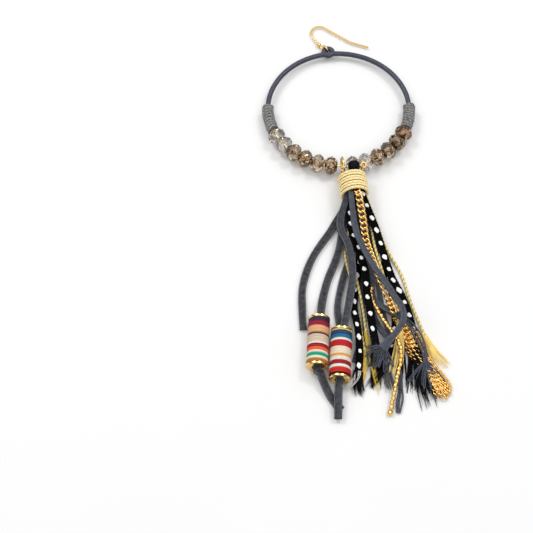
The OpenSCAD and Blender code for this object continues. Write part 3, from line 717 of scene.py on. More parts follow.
class EARRING_OT_glass(bpy.types.Operator):
    """Finish the clear, smoky and black glass beads"""
    bl_idname = "earring.glass"
    bl_label = "Glass Beads"

    # How smoky each bead is, in order round the hoop
    SMOKE = (0.2, 0.08, 0.95, 1.0, 0.8, 0.95, 0.3, 0.08, 0.9, 0.9, 1.0, 1.35)
    # How much a facet's way has to change for a random value of its own, which gives some facets painted shade and
    # some a painted highlight
    FACET_STEP = (0.09, 0.09, 0.09)
    # Share of each colour that a facet with painted shade keeps
    PAINTED_SHADE_SHARE = (1, 0.85, 0.72)
    BLACK = (0.002, 0.002, 0.003), (0.008, 0.005, 0.01)

    def glass(self, name, body, smoke):
        """Tinted glass with painted shade on its rims and on a few facets, standing in for the dark surroundings that
        cut glass reflects, and a painted highlight on a few pale facets.
        """
        made = Finish(name, Transmission_Weight=1.0, IOR=1.56)
        facing = made.add("ShaderNodeNewGeometry").outputs["True Normal"]
        snap = made.add("ShaderNodeVectorMath", {0: facing, 1: self.FACET_STEP}, operation="SNAP")
        chance = made.add("ShaderNodeTexWhiteNoise", {"Vector": snap.outputs["Vector"]}).outputs["Value"]
        # Painted shade on the rims, by how far each face turns away from the view
        rim = made.spread(made.add("ShaderNodeLayerWeight").outputs["Facing"], 0.28, 0.44)
        painted_highlight_mask = made.spread(chance, 0.26, 0.2)
        painted_shade_mask = made.spread(made.maths("MULTIPLY_ADD", rim, 0.5, chance), 0.78, 0.84)
        # Colour of the painted shade, darker the smokier the glass
        dark = tuple(c * share * (0.42 - 0.36 * min(1, smoke)) for c, share in zip(body, self.PAINTED_SHADE_SHARE))
        # Painted highlight: a few facets take a much paler copy of the tint
        pale = made.mix(painted_highlight_mask, made.patches(body, darker(body, 0.85), 2.5, 0.8), tuple(c ** 0.3 for c in body))
        return made.colour(made.mix(painted_shade_mask, pale, dark)).rough(0.0, 0.02, 2.0).material

    def execute(self, context):
        for number, smoke in enumerate(self.SMOKE, 1):
            body = tuple(max(0.06, a + (b - a) * smoke) for a, b in zip(tint("clear"), tint("smoky")))
            name = "glass_bead_%02d" % number
            dress(name, self.glass(name, body, smoke))
        dress("black_bead", blotched("glass_black", *self.BLACK, 2.0, 0.8, rough=(0.03, 0.1), Specular_IOR_Level=0.1))
        return {"FINISHED"}


class EARRING_OT_suede(bpy.types.Operator):
    """Cut the suede strips of the tassel and their slit, looped ends"""
    bl_idname = "earring.suede"
    bl_label = "Suede Strips"

    # A strip's outline: flat faces, rounded corners and cut edges
    OUTLINE = outlined(((-1, 0.5), (-0.93, 0.9), (-0.66, 1), (0, 1), (0.66, 1), (0.93, 0.9), (1, 0.5)))
    # Strands that show their smooth slate side, to the left and to the right
    SLATE = {"far_left": (0.1, 0), "bead_left": (0.15, 0), "bead_right": (0, 0.3), "top_curl": (0.85, 0.5),
             "fringe_right": (0.5, 0.5), "under_right": (0.1, 0.5), "under_long": (0.1, 0.4), "under_mid": (0.5, 0.5),
             "short_left": (0.2, 0)}
    # Where the slit strips' slits start, and where the laces of fringe_right are tied
    SLITS = {"fringe_right": 0.61 * TASSEL_L, "top_curl": 0.74 * TASSEL_L,
             "under_long": TASSEL["under_long"].to_v - 9, "under_mid": TASSEL["under_mid"].to_v - 9}
    TIED = 0.79 * TASSEL_L
    ROLL, ROLLS_FROM_V = radians(7), 8
    STEP, LACE_STEP, LACE_R = 0.9, 0.8, 0.33
    LACE_TONES = (1, 0.7, 0.9)
    LOOPS, LOOP_PARTS = 13, 14

    def strip(self, strand, end_v, seed):
        """A strip from its upper end down, which rolls a little from side to side."""
        phase = random.Random(seed).uniform(0, 6)
        rings = []
        for v in stops(strand.top_v, end_v, self.STEP):
            centre, side, width, thick = strand.ring(v)
            roll = self.ROLL * sin(v / 7 + phase) if not strand.in_bead(v) and v > self.ROLLS_FROM_V else 0
            across = Matrix.Rotation(roll, 3, side.cross(UP)) @ side
            up = across.cross(-turned(side)).normalized()
            swell = 1 + 0.03 * sin(v / 2.3 + phase)
            centre.z = max(centre.z, thick * 0.53 + abs(sin(roll)) * width * 0.52)
            rings.append((centre, across, width * swell, thick * (1 + 0.04 * sin(v / 3.1)), up))
        return sweep(rings, self.OUTLINE, self.SLATE.get(strand.name, (0.0, 0.0)))

    def laces(self, strand, from_v, to_v, seed):
        """Thin laces side by side, which a slit strip parts into."""
        chance = random.Random(seed)
        routes = []
        for n in range(len(self.LACE_TONES)):
            offset, phase = row_place(n, len(self.LACE_TONES)), chance.uniform(0, 6)
            route = []
            for v in stops(from_v, to_v, self.LACE_STEP):
                centre, side, width, _ = strand.ring(v)
                part = sin(pi * (v - from_v) / (to_v - from_v))
                shift = offset * width / 2 * (0.75 + 0.6 * part) + 0.2 * part * sin(v / 3 + phase)
                route.append(centre + side * shift + UP * (0.15 * part * sin(v / 4 + phase)))
            routes.append(route)
        return wires(routes, self.LACE_R, 8, tones=self.LACE_TONES)

    def loops(self, strand, from_v, length, spread, radius, seed):
        """A tuft of laces that fold back on themselves."""
        chance = random.Random(seed)
        centre, side = strand.ring(from_v)[:2]
        routes = []
        for n in range(self.LOOPS):
            lean = radians(spread) * (row_place(n, self.LOOPS) + chance.uniform(-0.1, 0.1))
            reach = length * chance.uniform(0.75, 1.0)
            heading = turned(side) * cos(lean) + side * sin(lean)
            half, drop = chance.uniform(0.3, 0.55), chance.uniform(0.4, 0.9)
            route = []
            for t in stops(0, 1, 1 / self.LOOP_PARTS):
                along = sin(pi * t) ** 0.8 * reach
                off = cos(pi * t) * half * (0.4 + sin(pi * t))
                high = max(radius, centre.z * (1 - drop * along / reach) + 0.3 * sin(n + 3 * t))
                place = centre + heading * along + turned(heading) * off
                route.append((place.x, place.y, high))
            routes.append(route)
        return wires(routes, radius, tones=[chance.choice((0.5, 1, 1)) for _ in routes])

    def execute(self, context):
        face, edge = tint("suede_face"), tint("suede_edge")
        made = Finish("suede", Specular_IOR_Level=0.12)
        dark = made.patches(face, tuple(2.6 * a + 0.1 * b for a, b in zip(face, edge)), 1.3, 0.95)
        light = made.patches(edge, darker(edge, 0.55), 0.9, 0.9)
        # Painted highlight in a pale grey along the strips' rounded corners, where the edge attribute is 1
        corner = made.patches((0.2, 0.205, 0.225), (0.06, 0.062, 0.07), 0.9, 0.9)
        face_and_painted_highlight = made.mix(made.attribute("edge"), dark, corner)
        made.colour(made.mix(made.attribute("tone"), face_and_painted_highlight, light)).rough(0.75, 0.95, 0.6)
        made.relief(0.42, 0.24, 1.0, 0.5)
        pieces = []
        for n, strand in enumerate(of_kind(SUEDE)):
            slit = self.SLITS.get(strand.name, strand.to_v)
            pieces.append(self.strip(strand, slit, n))
            if strand.name == "fringe_right":
                pieces.append(self.laces(strand, slit - 1, self.TIED, 11))
                pieces.append(self.loops(strand, self.TIED - 0.5, length=12, spread=40, radius=0.19, seed=12))
            elif strand.name == "top_curl":
                pieces.append(self.loops(strand, slit - 1, length=8.5, spread=75, radius=0.24, seed=13))
            elif strand.name in self.SLITS:
                pieces.append(self.laces(strand, slit - 1, strand.to_v, 14 + n))
        finish_piece(join(pieces), "suede_strips", made.material, "suede", "suede_fringe")
        return {"FINISHED"}


class EARRING_OT_ribbons(bpy.types.Operator):
    """Weave the dotted ribbons"""
    bl_idname = "earring.ribbons"
    bl_label = "Dotted Ribbons"

    OUTLINE = outlined(((-1, 0), (-0.94, 0.7), (-0.5, 1), (0, 1), (0.5, 1), (0.94, 0.7), (1, 0)))
    STEP, RIPPLE_L = 0.33, 1.3
    DOT_W, DOT_L, DOT_T = 1.5, 2.5, 0.4
    # Places of the dots, in millimetres from the cap's mouth
    DOTS = {
        "ribbon_left": (5.5, 8.8, 12.8, 17.5, 22.5, 28.2, 34.2, 40.2, 46.2, 52.8, 58.6),
        "ribbon_right": (0.6, 5.2, 10.5, 16.8, 22.5, 28, 32.8, 37.5, 42.2, 47.8, 54.5, 60.5),
        "ribbon_low_left": (22.5, 28.3, 34.2, 40, 45, 50.2, 55.7, 61, 66.5, 72),
        "ribbon_low_right": (30, 36, 42, 48.6, 53.7, 58.9, 65, 71.3),
    }

    def ring(self, strand, v, phase):
        """A ring of the ribbon, which its fray doesn't widen and whose edges ripple."""
        centre, side, width, thick = strand.ring(v)
        if v > strand.frays_v:
            width, thick = strand.full_w, FULL_T[RIBBON]
        ripple = 1 + 0.05 * sin(v * tau / self.RIPPLE_L + phase)
        return centre, side, width * ripple, thick

    def dots(self, strand):
        """Padded white dots on both faces, modelled as flattened balls."""
        made = []
        for v in self.DOTS[strand.name]:
            centre, side, width, thick = self.ring(strand, v, 0)
            turn = Matrix((side, turned(side), UP)).transposed()
            grown = min(1.0, width / strand.full_w) * (1 + 0.12 * sin(3 * v))
            if strand.name == "ribbon_right":
                grown *= 1.12
            if v > 71 and strand.name == "ribbon_low_right":
                grown = 1.5
            for face in (1, -1):
                deselect()
                bpy.ops.mesh.primitive_uv_sphere_add(segments=12, ring_count=7, radius=0.5)
                dot = bpy.context.object
                for vertex in dot.data.vertices:
                    x, y, z = vertex.co
                    ragged = 1 + 0.1 * sin(4 * atan2(y, x) + 3 * v)
                    flat = Vector((x * self.DOT_W * ragged + 0.35 * y, y * self.DOT_L * ragged, z * self.DOT_T))
                    point = centre + turn @ (flat * grown + Vector((0.12 * sin(2 * v), 0, face * thick / 2)))
                    point.z = max(0.0, point.z)
                    vertex.co = point * MM
                made.append(dot)
        return made

    def execute(self, context):
        black, pale = tint("ribbon"), tint("dots")
        ground = Finish("ribbon", Specular_IOR_Level=0.03, Roughness=0.7)
        ground.colour(ground.patches(black, tuple(c + 0.004 for c in black), 0.5, 0.8))
        stretch = ground.add("ShaderNodeMapping", {"Vector": ground.uv(), "Scale": (12, 1, 1)})
        inputs = {"Vector": stretch.outputs["Vector"], "Scale": 1.6, "Distortion": 1.2}
        weave = ground.add("ShaderNodeTexWave", inputs, bands_direction="DIAGONAL")
        ground.bump(weave.outputs["Fac"], 0.08, 0.9)
        bodies, dots = [], []
        for n, strand in enumerate(of_kind(RIBBON)):
            places = stops(strand.top_v, (strand.end + 0.01) * TASSEL_L, self.STEP)
            bodies.append(sweep([self.ring(strand, v, n) for v in places], self.OUTLINE))
            dots += self.dots(strand)
        finish_piece(join(bodies), "ribbons", ground.material, "ribbon", "dotted_ribbons")
        spots = join(dots)
        bpy.ops.object.shade_smooth()
        finish_piece(spots, "ribbon_dots", thread_finish("ribbon_dots", pale, darker(pale, 0.82), 0.7, 0.3), "ribbon")
        return {"FINISHED"}


class EARRING_OT_cords(bpy.types.Operator):
    """Twist the gold cords"""
    bl_idname = "earring.cords"
    bl_label = "Gold Cords"

    # Painted shade of a cord's plies, the last one darkest, standing in for the shade in the grooves between them;
    # their radius and that of the circle they go round on
    PLY_PAINTED_SHADE = (0.0, 0.1, 0.8)
    PLY_R, TWIST_R = 0.29, 0.3
    STEP = 0.26

    def execute(self, context):
        gold = tint("cord")
        # The tone's dark gold is the plies' painted shade
        material = blotched("gold_cord", gold, darker(gold, 0.65), 0.3, 0.8, tone=darker(gold, 0.3),
                            rough=(0.4, 0.6, 0.3), relief=(0.08, 0.06, 0.9), Metallic=0.2)
        pitch, plies, cords = sizes().ply_pitch / MM, len(self.PLY_PAINTED_SHADE), of_kind(CORD)
        routes = []
        for strand in cords:
            for ply in range(plies):
                route = []
                for v in stops(strand.top_v, strand.frays_v + 0.8, self.STEP):
                    centre, side, _, _ = strand.ring(v)
                    turn = tau * (v / pitch + ply / plies)
                    route.append(centre + (side * cos(turn) + UP * sin(turn)) * self.TWIST_R)
                routes.append(route)
        twist = wires(routes, self.PLY_R, tones=self.PLY_PAINTED_SHADE * len(cords))
        finish_piece(twist, "gold_cords_twisted", material, "gold_cord", "gold_cords")
        return {"FINISHED"}


class EARRING_OT_frays(bpy.types.Operator):
    """Fray the ends of the ribbons and cords into fibres"""
    bl_idname = "earring.frays"
    bl_label = "Frayed Ends"

    # Columns: strand whose end it is or place where it starts, place of its tip in millimetres, width
    # where it starts and at its tip, wisps, fibres in a wisp, colour, seed
    TUFTS = (
        ("cord_left", (-10.5, -79.5, 0.6), 1.0, 3.4, 6, 13, "yellow", 1),
        ("cord_low", (-2.7, -82, 0.5), 1.0, 2.6, 5, 10, "yellow", 2),
        ("cord_mid", (2.8, -77.5, 2.6), 1.0, 4.6, 9, 18, "pale", 3),
        ("cord_right", (23.0, -74.5, 0.8), 1.0, 4.2, 8, 16, "pale", 4),
        ("ribbon_low_left", (-10.8, -82.5, 0.5), 3.0, 4.4, 9, 12, "black", 5),
        ("ribbon_low_left", (-16.6, -79.6, 1.0), 1.5, 3.0, 6, 11, "white", 6),
        ("ribbon_low_right", (-8.0, -79.4, 0.8), 2.6, 3.6, 9, 12, "black", 7),
        ((-3.2, -67.5, 0.6), (-4.4, -80.8, 0.4), 2.2, 3.8, 7, 10, "black", 16),
        ((0.6, -72.0, 0.8), (0.8, -82.3, 0.5), 2.6, 3.6, 8, 9, "ash", 17),
        ((7.6, -63.0, 0.8), (5.6, -79.5, 0.5), 1.4, 3.6, 7, 10, "black", 18),
        ("ribbon_right", (14.6, -90.5, 0.5), 3.0, 6.6, 14, 14, "black", 8),
        ((11.5, -61.0, 0.9), (8.2, -84.6, 0.5), 1.6, 4.4, 9, 12, "black", 9),
        ("ribbon_left", (-3.2, -74.0, 1.2), 2.6, 4.6, 8, 11, "black", 10),
        ("ribbon_left", (-7.2, -72.5, 2.2), 1.0, 3.0, 3, 6, "ash", 14),
    )
    # The fibres' colours: two shades of each, its slot and its gloss
    PAINTS = {
        "yellow": ((1.0, 0.76, 0.15), (0.75, 0.5, 0.06), "gold_cord", 0.3),
        "pale": ((1.0, 0.87, 0.4), (1.0, 0.74, 0.24), "gold_cord", 0.3),
        "black": ((0.002, 0.002, 0.0025), (0.006, 0.006, 0.007), "ribbon", 0.08),
        "white": ((0.95, 0.95, 0.92), (0.6, 0.6, 0.56), "ribbon", 0.3),
        "ash": ((0.3, 0.3, 0.3), (0.03, 0.03, 0.03), "ribbon", 0.3),
    }

    PARTS = 8

    def fibres(self, start, tip, from_w, to_w, wisps, count, seed):
        """Wisps of fibres, each of which draws together again at its tip."""
        chance = random.Random(seed)
        ahead, tip = Vector((0, -1, 0)), Vector(tip)
        if isinstance(start, str):
            start, side = TASSEL[start].ring(TASSEL[start].frays_v - 0.3)[:2]
            ahead = turned(side)
        root = Vector(start)
        bend = root + ahead * (tip - root).length * 0.45
        routes = []
        for wisp in range(wisps):
            aside = row_place(wisp, wisps, chance.uniform(0.1, 0.9))
            reach = chance.uniform(0.72, 1.0)
            phase, curl, level = chance.uniform(0, 6), chance.uniform(0.1, 0.6), chance.uniform(-0.5, 0.4)
            for _ in range(count):
                own, rise = chance.uniform(-0.55, 0.55), chance.uniform(-0.35, 0.35)
                stray = chance.uniform(-1.2, 1.2) if chance.random() < 0.15 else 0
                ended = reach * chance.uniform(0.8, 1.05)
                route = []
                for step in stops(0, 1, 1 / self.PARTS):
                    t = step * ended
                    middle = root * (1 - t) ** 2 + bend * 2 * t * (1 - t) + tip * t * t
                    half = (from_w + (to_w - from_w) * min(1, t * 1.3)) / 2
                    wander = curl * sin(phase + 4 * t) * t + stray * t * t
                    place = middle - turned(ahead) * (aside * half + own * (1 - 0.6 * t) * 0.8 + wander)
                    high = max(0.08, place.z + (level + rise) * (1 - 0.4 * t) + 0.15 * sin(phase + 3 * t) * t)
                    route.append((place.x, place.y, high, 1 - 0.45 * step))
                routes.append(route)
        return routes

    def execute(self, context):
        for paint, (first, second, slot_name, gloss) in self.PAINTS.items():
            routes = []
            for *shape, tuft_paint, seed in self.TUFTS:
                if tuft_paint == paint:
                    routes += self.fibres(*shape, seed)
            piece = wires(routes, sizes().fibre / MM / 2, 4, tones=[(n * 0.37) % 1 for n in range(len(routes))])
            material = thread_finish("fibre_" + paint, first, second, 0.6, gloss=gloss)
            finish_piece(piece, "fibres_" + paint, material, slot_name)
        return {"FINISHED"}


def chain_links(route, pitch, half_l, half_w, rise, points, roll, phase=0.0):
    """Links at even steps along a route of points in millimetres. Each is twisted so that it lies flat
    through its neighbours, and the chain turns slowly from side to side."""
    runs = lengths(route)

    def at(run):
        run = min(max(run, 0), runs[-1])
        i = next((n for n in range(len(runs) - 1) if runs[n + 1] >= run), len(runs) - 2)
        return route[i].lerp(route[i + 1], (run - runs[i]) / max(1e-6, runs[i + 1] - runs[i]))

    links = []
    for n in range(int((runs[-1] - 2 * half_l) / pitch) + 1):
        run = half_l + n * pitch
        way = (at(run + 0.5) - at(run - 0.5)).normalized()
        side = Matrix.Rotation(roll * sin(n * 0.35 + phase), 3, way) @ way.cross(UP).normalized()
        up = side.cross(way)
        link = []
        for m in range(points):
            around = tau * (m + 0.5) / points
            link.append(at(run) + way * half_l * cos(around) + side * half_w * sin(around)
                        + up * rise * sin(2 * around))
        links.append(link)
    return links


class EARRING_OT_chains(bpy.types.Operator):
    """Link the curb chain, the nugget chain and the bundle of fine chains"""
    bl_idname = "earring.chains"
    bl_label = "Chains"

    BUNDLE_CHAINS = 12
    # How far the chains that lie side by side are lifted by turns
    BUNDLE_LIFTS = (-0.3, 0.35, 0.05)
    NUGGETS_FROM_V, NUGGET_L, NUGGET_STEP = 41, 1.5, 0.15
    NUGGET_R, BALL_R = 0.85, 1.1

    def route(self, strand, start, end, step=0.8):
        return [strand.ring(v)[0] for v in stops(start, end, step)]

    def curb(self, gold):
        strand, wire = TASSEL["curb"], sizes().link_wire / MM
        links = chain_links(self.route(strand, -1.6, strand.to_v), sizes().link_pitch / MM,
                            half_l=1.55, half_w=1.18, rise=wire * 0.6, points=18, roll=0.15)
        finish_piece(wires(links, wire / 2, 8, ring=True), "curb_links", gold, "gold_chain", "curb_chain")

    def nuggets(self, gold):
        """A row of nuggets that narrows between them, and a ball at its end."""
        strand = TASSEL["nugget_chain"]
        core = []
        for n, point in enumerate(self.route(strand, self.NUGGETS_FROM_V, strand.to_v - 2, self.NUGGET_STEP)):
            nugget, share = divmod(n * self.NUGGET_STEP / self.NUGGET_L, 1)
            turn = share * 2 - 1
            way = 0.12 * (-1) ** int(nugget)
            swell = max(0.3, sqrt(max(0, 1 - turn ** 4)))
            core.append((point.x + way * (1 - abs(turn)), point.y, point.z + 0.2, swell))
        chain = wires([core], self.NUGGET_R, 12)
        end = strand.ring(strand.to_v - 1.2)[0]
        end.z = self.BALL_R
        deselect()
        bpy.ops.mesh.primitive_uv_sphere_add(segments=20, ring_count=12, radius=self.BALL_R * MM, location=end * MM)
        ball = place_mesh()
        bpy.ops.object.shade_smooth()
        finish_piece(join([chain, ball]), "nugget_links", gold, "gold_chain", "ball_chain")

    def bundle(self, gold):
        """Fine chains side by side, heaped up towards their middle."""
        strand = TASSEL["fine_bundle"]
        chance = random.Random(21)
        links = []
        for n in range(self.BUNDLE_CHAINS):
            share = row_place(n, self.BUNDLE_CHAINS)
            phase = chance.uniform(0, 6)
            end = strand.to_v + 3 - 5 * share * share + chance.uniform(-1.0, 1.0)
            route = []
            for v in stops(strand.from_v + 2, end, 1.0):
                centre, side, width, _ = strand.ring(min(v, strand.to_v))
                shift = share * (width / 2 + 0.5) + 0.2 * sin(v / 3 + phase)
                crown = 1.3 * sin(pi * min(1, (v - strand.from_v) / (strand.to_v - strand.from_v)))
                high = centre.z + self.BUNDLE_LIFTS[n % 3] + crown * (1 - share * share * 0.6)
                route.append(Vector((centre.x + side.x * shift, MOUTH_Y - v - side.y * shift, max(1.1, high))))
            links += chain_links(route, 1.9, half_l=1.4, half_w=0.88, rise=0.36, points=12, roll=0.7, phase=2 * phase)
        piece = wires(links, sizes().fine_wire / MM / 2, 4, ring=True)
        finish_piece(piece, "fine_links", gold, "gold_chain", "fine_chains")

    def execute(self, context):
        red, green, blue = gold = tint("gold")
        self.curb(gold_finish("gold_chain", gold, darker(gold, 0.85), 0.12, 0.25))
        fine = gold_finish("gold_fine_chain", (red, green * 0.93, blue * 0.8), darker(gold, 0.85), 0.15, 0.3)
        self.nuggets(fine)
        self.bundle(fine)
        return {"FINISHED"}


class EARRING_OT_cap(bpy.types.Operator):
    """Wind the cap from gold braid"""
    bl_idname = "earring.cap"
    bl_label = "Cap"

    LENGTH = CAP_TOP_Y - MOUTH_Y
    HEAD_L = 4.4
    # Points and twists of a ply in one turn, and how far each turn leans on its neighbour
    POINTS, TWISTS, LEAN = 168, 17, 0.04
    # Radius of the braid as a share of half a turn, and of a ply as a share of the braid's
    BRAID_SHARE, PLY_SHARE = 1.1, 0.5

    def cylinder(self, radius, length, middle_y, sides, fill, kind, **settings):
        """A cylinder along the cap, with one modifier applied."""
        deselect()
        bpy.ops.mesh.primitive_cylinder_add(
            vertices=sides, radius=radius * MM, depth=length * MM, end_fill_type=fill,
            location=(0, middle_y * MM, CAP_R * MM), rotation=(pi / 2, 0, 0))
        piece = place_mesh()
        change = piece.modifiers.new("change", kind)
        for label, value in settings.items():
            setattr(change, label, value)
        bpy.ops.object.modifier_apply(modifier=change.name)
        return piece

    def braid(self):
        """Plies that twist round each turn of the braid."""
        turns, plies = sizes().braid_turns, sizes().braid_plies
        turn_l = self.LENGTH / turns
        braid_r = turn_l / 2 * self.BRAID_SHARE
        ply_r = braid_r * self.PLY_SHARE
        routes = []
        for n in range(turns):
            y = MOUTH_Y + (n + 0.5 + (self.LEAN if n % 2 else -self.LEAN)) * turn_l
            for ply in range(plies):
                route = []
                for m in range(self.POINTS):
                    around = tau * m / self.POINTS
                    twist = self.TWISTS * around + tau * ply / plies + 2.4 * n
                    out = CAP_R - braid_r + (braid_r - ply_r) * cos(twist)
                    route.append((out * cos(around), y + (braid_r - ply_r) * sin(twist),
                                  CAP_R + out * sin(around)))
                routes.append(route)
        return wires(routes, ply_r, ring=True, tones=([0.0] * (plies - 1) + [0.3]) * turns)

    def execute(self, context):
        gold, face = tint("braid"), tint("suede_edge")
        shiny = blotched("cap_braid", gold, tuple(c ** 1.4 for c in gold), 0.5, 0.8, tone=darker(gold, 0.45),
                         rough=(0.16, 0.34, 0.5), relief=(0.4, 0.16, 0.9), Specular_IOR_Level=1.0,
                         Coat_Weight=0.8, Coat_Roughness=0.15)
        finish_piece(self.braid(), "cap_braid", shiny, "gold_braid", "cap_winding")
        # A dark brown sleeve under the braid, as painted shade in the gaps between its turns
        sleeve = self.cylinder(CAP_BORE_R + 0.15, self.LENGTH - 0.6, MOUTH_Y + self.LENGTH / 2, 48, "NOTHING",
                               "SOLIDIFY", thickness=0.3 * MM, offset=1)
        shadow = gold_finish("cap_sleeve", (0.2, 0.1, 0.02), (0.1, 0.045, 0.01), 0.5, 0.7)
        finish_piece(sleeve, "cap_sleeve", shadow, "gold_braid")
        # The suede head shows in the cap's upper end
        head = self.cylinder(CAP_BORE_R - 0.1, self.HEAD_L, CAP_TOP_Y - 0.2 - self.HEAD_L / 2, 40, "NGON",
                             "BEVEL", width=0.5 * MM, segments=3)
        bpy.ops.object.shade_smooth_by_angle(angle=SMOOTH_ANGLE)
        finish_piece(head, "suede_head", thread_finish("suede_head", face, darker(face, 0.6), 0.9, 1.0), "suede")
        return {"FINISHED"}


class EARRING_OT_windings(bpy.types.Operator):
    """Wind grey thread over the leather cord's ends"""
    bl_idname = "earring.windings"
    bl_label = "Hoop Windings"

    RADIUS, END_R = 2.45, 1.12
    COLS, STEPS = 40, 9

    def on_hoop(self, around, out, lift):
        """A place round the hoop's circle, out from the hoop's middle and off its plane."""
        right, down = Vector((1, 0, 0)), Vector((0, -cos(HOOP_LEAN), sin(HOOP_LEAN)))
        face = right * sin(around) + down * cos(around)
        return HOOP_MIDDLE + face * (HOOP_R + out) + down.cross(right) * lift

    def execute(self, context):
        grey = tint("thread")
        made = Finish("winding_thread", Specular_IOR_Level=0.15, Roughness=0.8)
        worn = made.patches(grey, darker(grey, 0.25), 0.8, 0.95)
        # Painted shade: where the tone is 1, in the gaps between turns, the thread is nearly black
        made.threads(0.24, 0.1, 0.5, made.mix(made.attribute("tone"), worn, darker(grey, 0.05)))
        turns = sizes().winding_turns
        rows = turns * self.STEPS + 1
        for seed, (name, middle, length) in enumerate(WINDINGS, 31):
            chance = random.Random(seed)
            lumps = [chance.uniform(-0.09, 0.06) for _ in range(turns + 2)]

            def place(i, j):
                """A broad turn that rounds off towards its neighbours, on a slight slope."""
                u, spin = j / (rows - 1), tau * i / self.COLS
                at = u * turns + 0.35 * sin(spin + seed)
                turn = min(turns, max(0, int(at)))
                share = abs(2 * (at - turn) - 1)
                out = self.RADIUS + lumps[turn] - 0.7 * share ** 4 + 0.04 * sin(3 * spin + turn)
                if j in (0, rows - 1):
                    out = self.END_R
                around = radians(middle) + length / HOOP_R * (u - 0.5)
                # The tone rises to 1 in the gaps between turns, where the material paints shade
                return self.on_hoop(around, out * cos(spin), out * sin(spin)), 0.0, share ** 8

            piece = shell(self.COLS, rows, place, [length * j / (rows - 1) for j in range(rows)])
            finish_piece(piece, name + "_thread", made.material, "thread_grey", name)
        return {"FINISHED"}


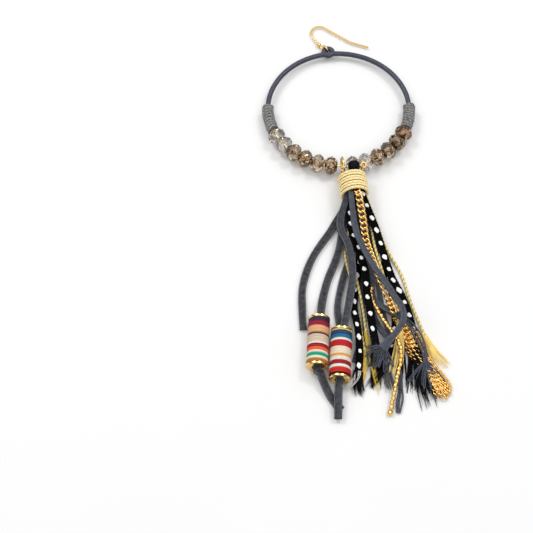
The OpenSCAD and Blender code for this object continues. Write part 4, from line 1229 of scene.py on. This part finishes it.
class EARRING_OT_wound_beads(bpy.types.Operator):
    """Wind the two striped beads from coloured thread"""
    bl_idname = "earring.wound_beads"
    bl_label = "Striped Beads"

    # Stripes from the upper end: share of the bead's length, colour
    STRIPES = (
        ((0.1, (0.04, 0.02, 0.05)), (0.1, (0.3, 0.012, 0.04)), (0.14, (0.75, 0.42, 0.22)),
         (0.03, (0.5, 0.2, 0.03)), (0.03, (0.03, 0.04, 0.09)), (0.17, (0.66, 0.53, 0.4)),
         (0.04, (0.8, 0.76, 0.66)), (0.08, (0.35, 0.01, 0.03)), (0.07, (0.75, 0.13, 0.03)),
         (0.05, (0.8, 0.68, 0.58)), (0.08, (0.01, 0.38, 0.2)), (0.05, (0.8, 0.76, 0.66)),
         (0.06, (0.5, 0.2, 0.03))),
        ((0.03, (0.8, 0.6, 0.12)), (0.1, (0.02, 0.06, 0.16)), (0.08, (0.02, 0.16, 0.3)),
         (0.05, (0.8, 0.76, 0.66)), (0.14, (0.5, 0.015, 0.02)), (0.16, (0.8, 0.7, 0.54)),
         (0.06, (0.7, 0.36, 0.1)), (0.08, (0.8, 0.74, 0.64)), (0.1, (0.36, 0.01, 0.03)),
         (0.06, (0.7, 0.8, 0.7)), (0.11, (0.6, 0.02, 0.015)), (0.03, (0.02, 0.01, 0.01))),
    )
    # One turn's profile: share of the turn, how far out
    TURN = ((0.0, -0.5), (0.2, -0.12), (0.5, 0), (0.8, -0.12))
    TURNS, SIDES = 40, 56
    BORE_R = 1.95

    def thread(self, name, stripes):
        """Thread in stripes along the bead, whose shares are made up to its whole length."""
        made = Finish(name, Specular_IOR_Level=0.25, Roughness=0.6)
        total = sum(share for share, _ in stripes)
        steps, place = [], 0.0
        for share, paint in stripes:
            steps.append((place, paint))
            place += share / total
        striped = made.ramp(made.attribute("along"), steps, "CONSTANT")
        worn = made.patches((1, 1, 1), (0.72, 0.7, 0.68), 0.45, 0.8)
        return made.colour(made.mix(0.9, striped, worn, "MULTIPLY")).relief(0.1, 0.05, 0.9).material

    def execute(self, context):
        angles = [tau * n / self.SIDES for n in range(self.SIDES)]
        outline = [(cos(angle), sin(angle)) for angle in angles]
        for number, stripes in enumerate(self.STRIPES, 1):
            name = "wound_bead_%d" % number
            low, high = (Vector(corner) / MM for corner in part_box(name))
            middle = (low + high) / 2
            lean = radians(WOUND_BEADS[number - 1][2])
            side = Vector((cos(lean), sin(lean), 0))
            way = turned(side)
            radius = (high.z - low.z) / 2
            length = ((high.y - low.y) - 2 * radius * abs(sin(lean))) / cos(lean)
            thick = length / self.TURNS
            profile = [(-length / 2, self.BORE_R)]
            for n in range(self.TURNS):
                swell = 0.05 * sin(n * 2.7) - 0.05
                for share, out in self.TURN:
                    profile.append(((n + share) * thick - length / 2, radius + out * thick * 0.6 + swell))
            profile += [(length / 2, radius - 0.3), (length / 2, self.BORE_R)]
            body = sweep([(middle + way * run, side, 2 * out, 2 * out) for run, out in profile], outline)
            along = body.data.attributes.new("along", "FLOAT", "POINT")
            for vertex in body.data.vertices:
                offset = vertex.co / MM - middle
                turn = atan2(offset.z, offset.dot(side)) / tau
                share = offset.dot(way) / length + 0.5 + turn / self.TURNS
                along.data[vertex.index].value = min(0.999, max(0.0, share))
            finish_piece(body, name + "_thread", self.thread(name, stripes), "wound_thread", name)
        return {"FINISHED"}


PIECES = (EARRING_OT_metal, EARRING_OT_leather, EARRING_OT_glass, EARRING_OT_windings, EARRING_OT_cap,
          EARRING_OT_suede, EARRING_OT_ribbons, EARRING_OT_cords, EARRING_OT_frays, EARRING_OT_chains,
          EARRING_OT_wound_beads)


class EARRING_PT_pieces(bpy.types.Panel):
    """The earring's pieces, each with a button that makes it"""
    bl_label = "Tassel Earring"
    bl_idname = "EARRING_PT_pieces"
    bl_space_type = "VIEW_3D"
    bl_region_type = "UI"
    bl_category = "Earring"

    def draw(self, context):
        column = self.layout.column(align=True)
        column.operator(EARRING_OT_stage.bl_idname)
        for piece in PIECES:
            column.operator(piece.bl_idname)
        for holder in (context.scene.earring_sizes, context.scene.earring_colours):
            box = self.layout.box()
            for label in holder.bl_rna.properties.keys():
                if label not in ("rna_type", "name"):
                    box.prop(holder, label)


CLASSES = (EarringSizes, EarringColours, EARRING_OT_stage) + PIECES + (EARRING_PT_pieces,)


def register():
    for made in CLASSES:
        bpy.utils.register_class(made)
    bpy.types.Scene.earring_sizes = PointerProperty(type=EarringSizes)
    bpy.types.Scene.earring_colours = PointerProperty(type=EarringColours)


def unregister():
    del bpy.types.Scene.earring_colours
    del bpy.types.Scene.earring_sizes
    for made in reversed(CLASSES):
        bpy.utils.unregister_class(made)


def main():
    register()
    bpy.ops.earring.stage()
    for piece in PIECES:
        getattr(bpy.ops.earring, piece.bl_idname.split(".")[1])()


if __name__ == "__main__":
    main()
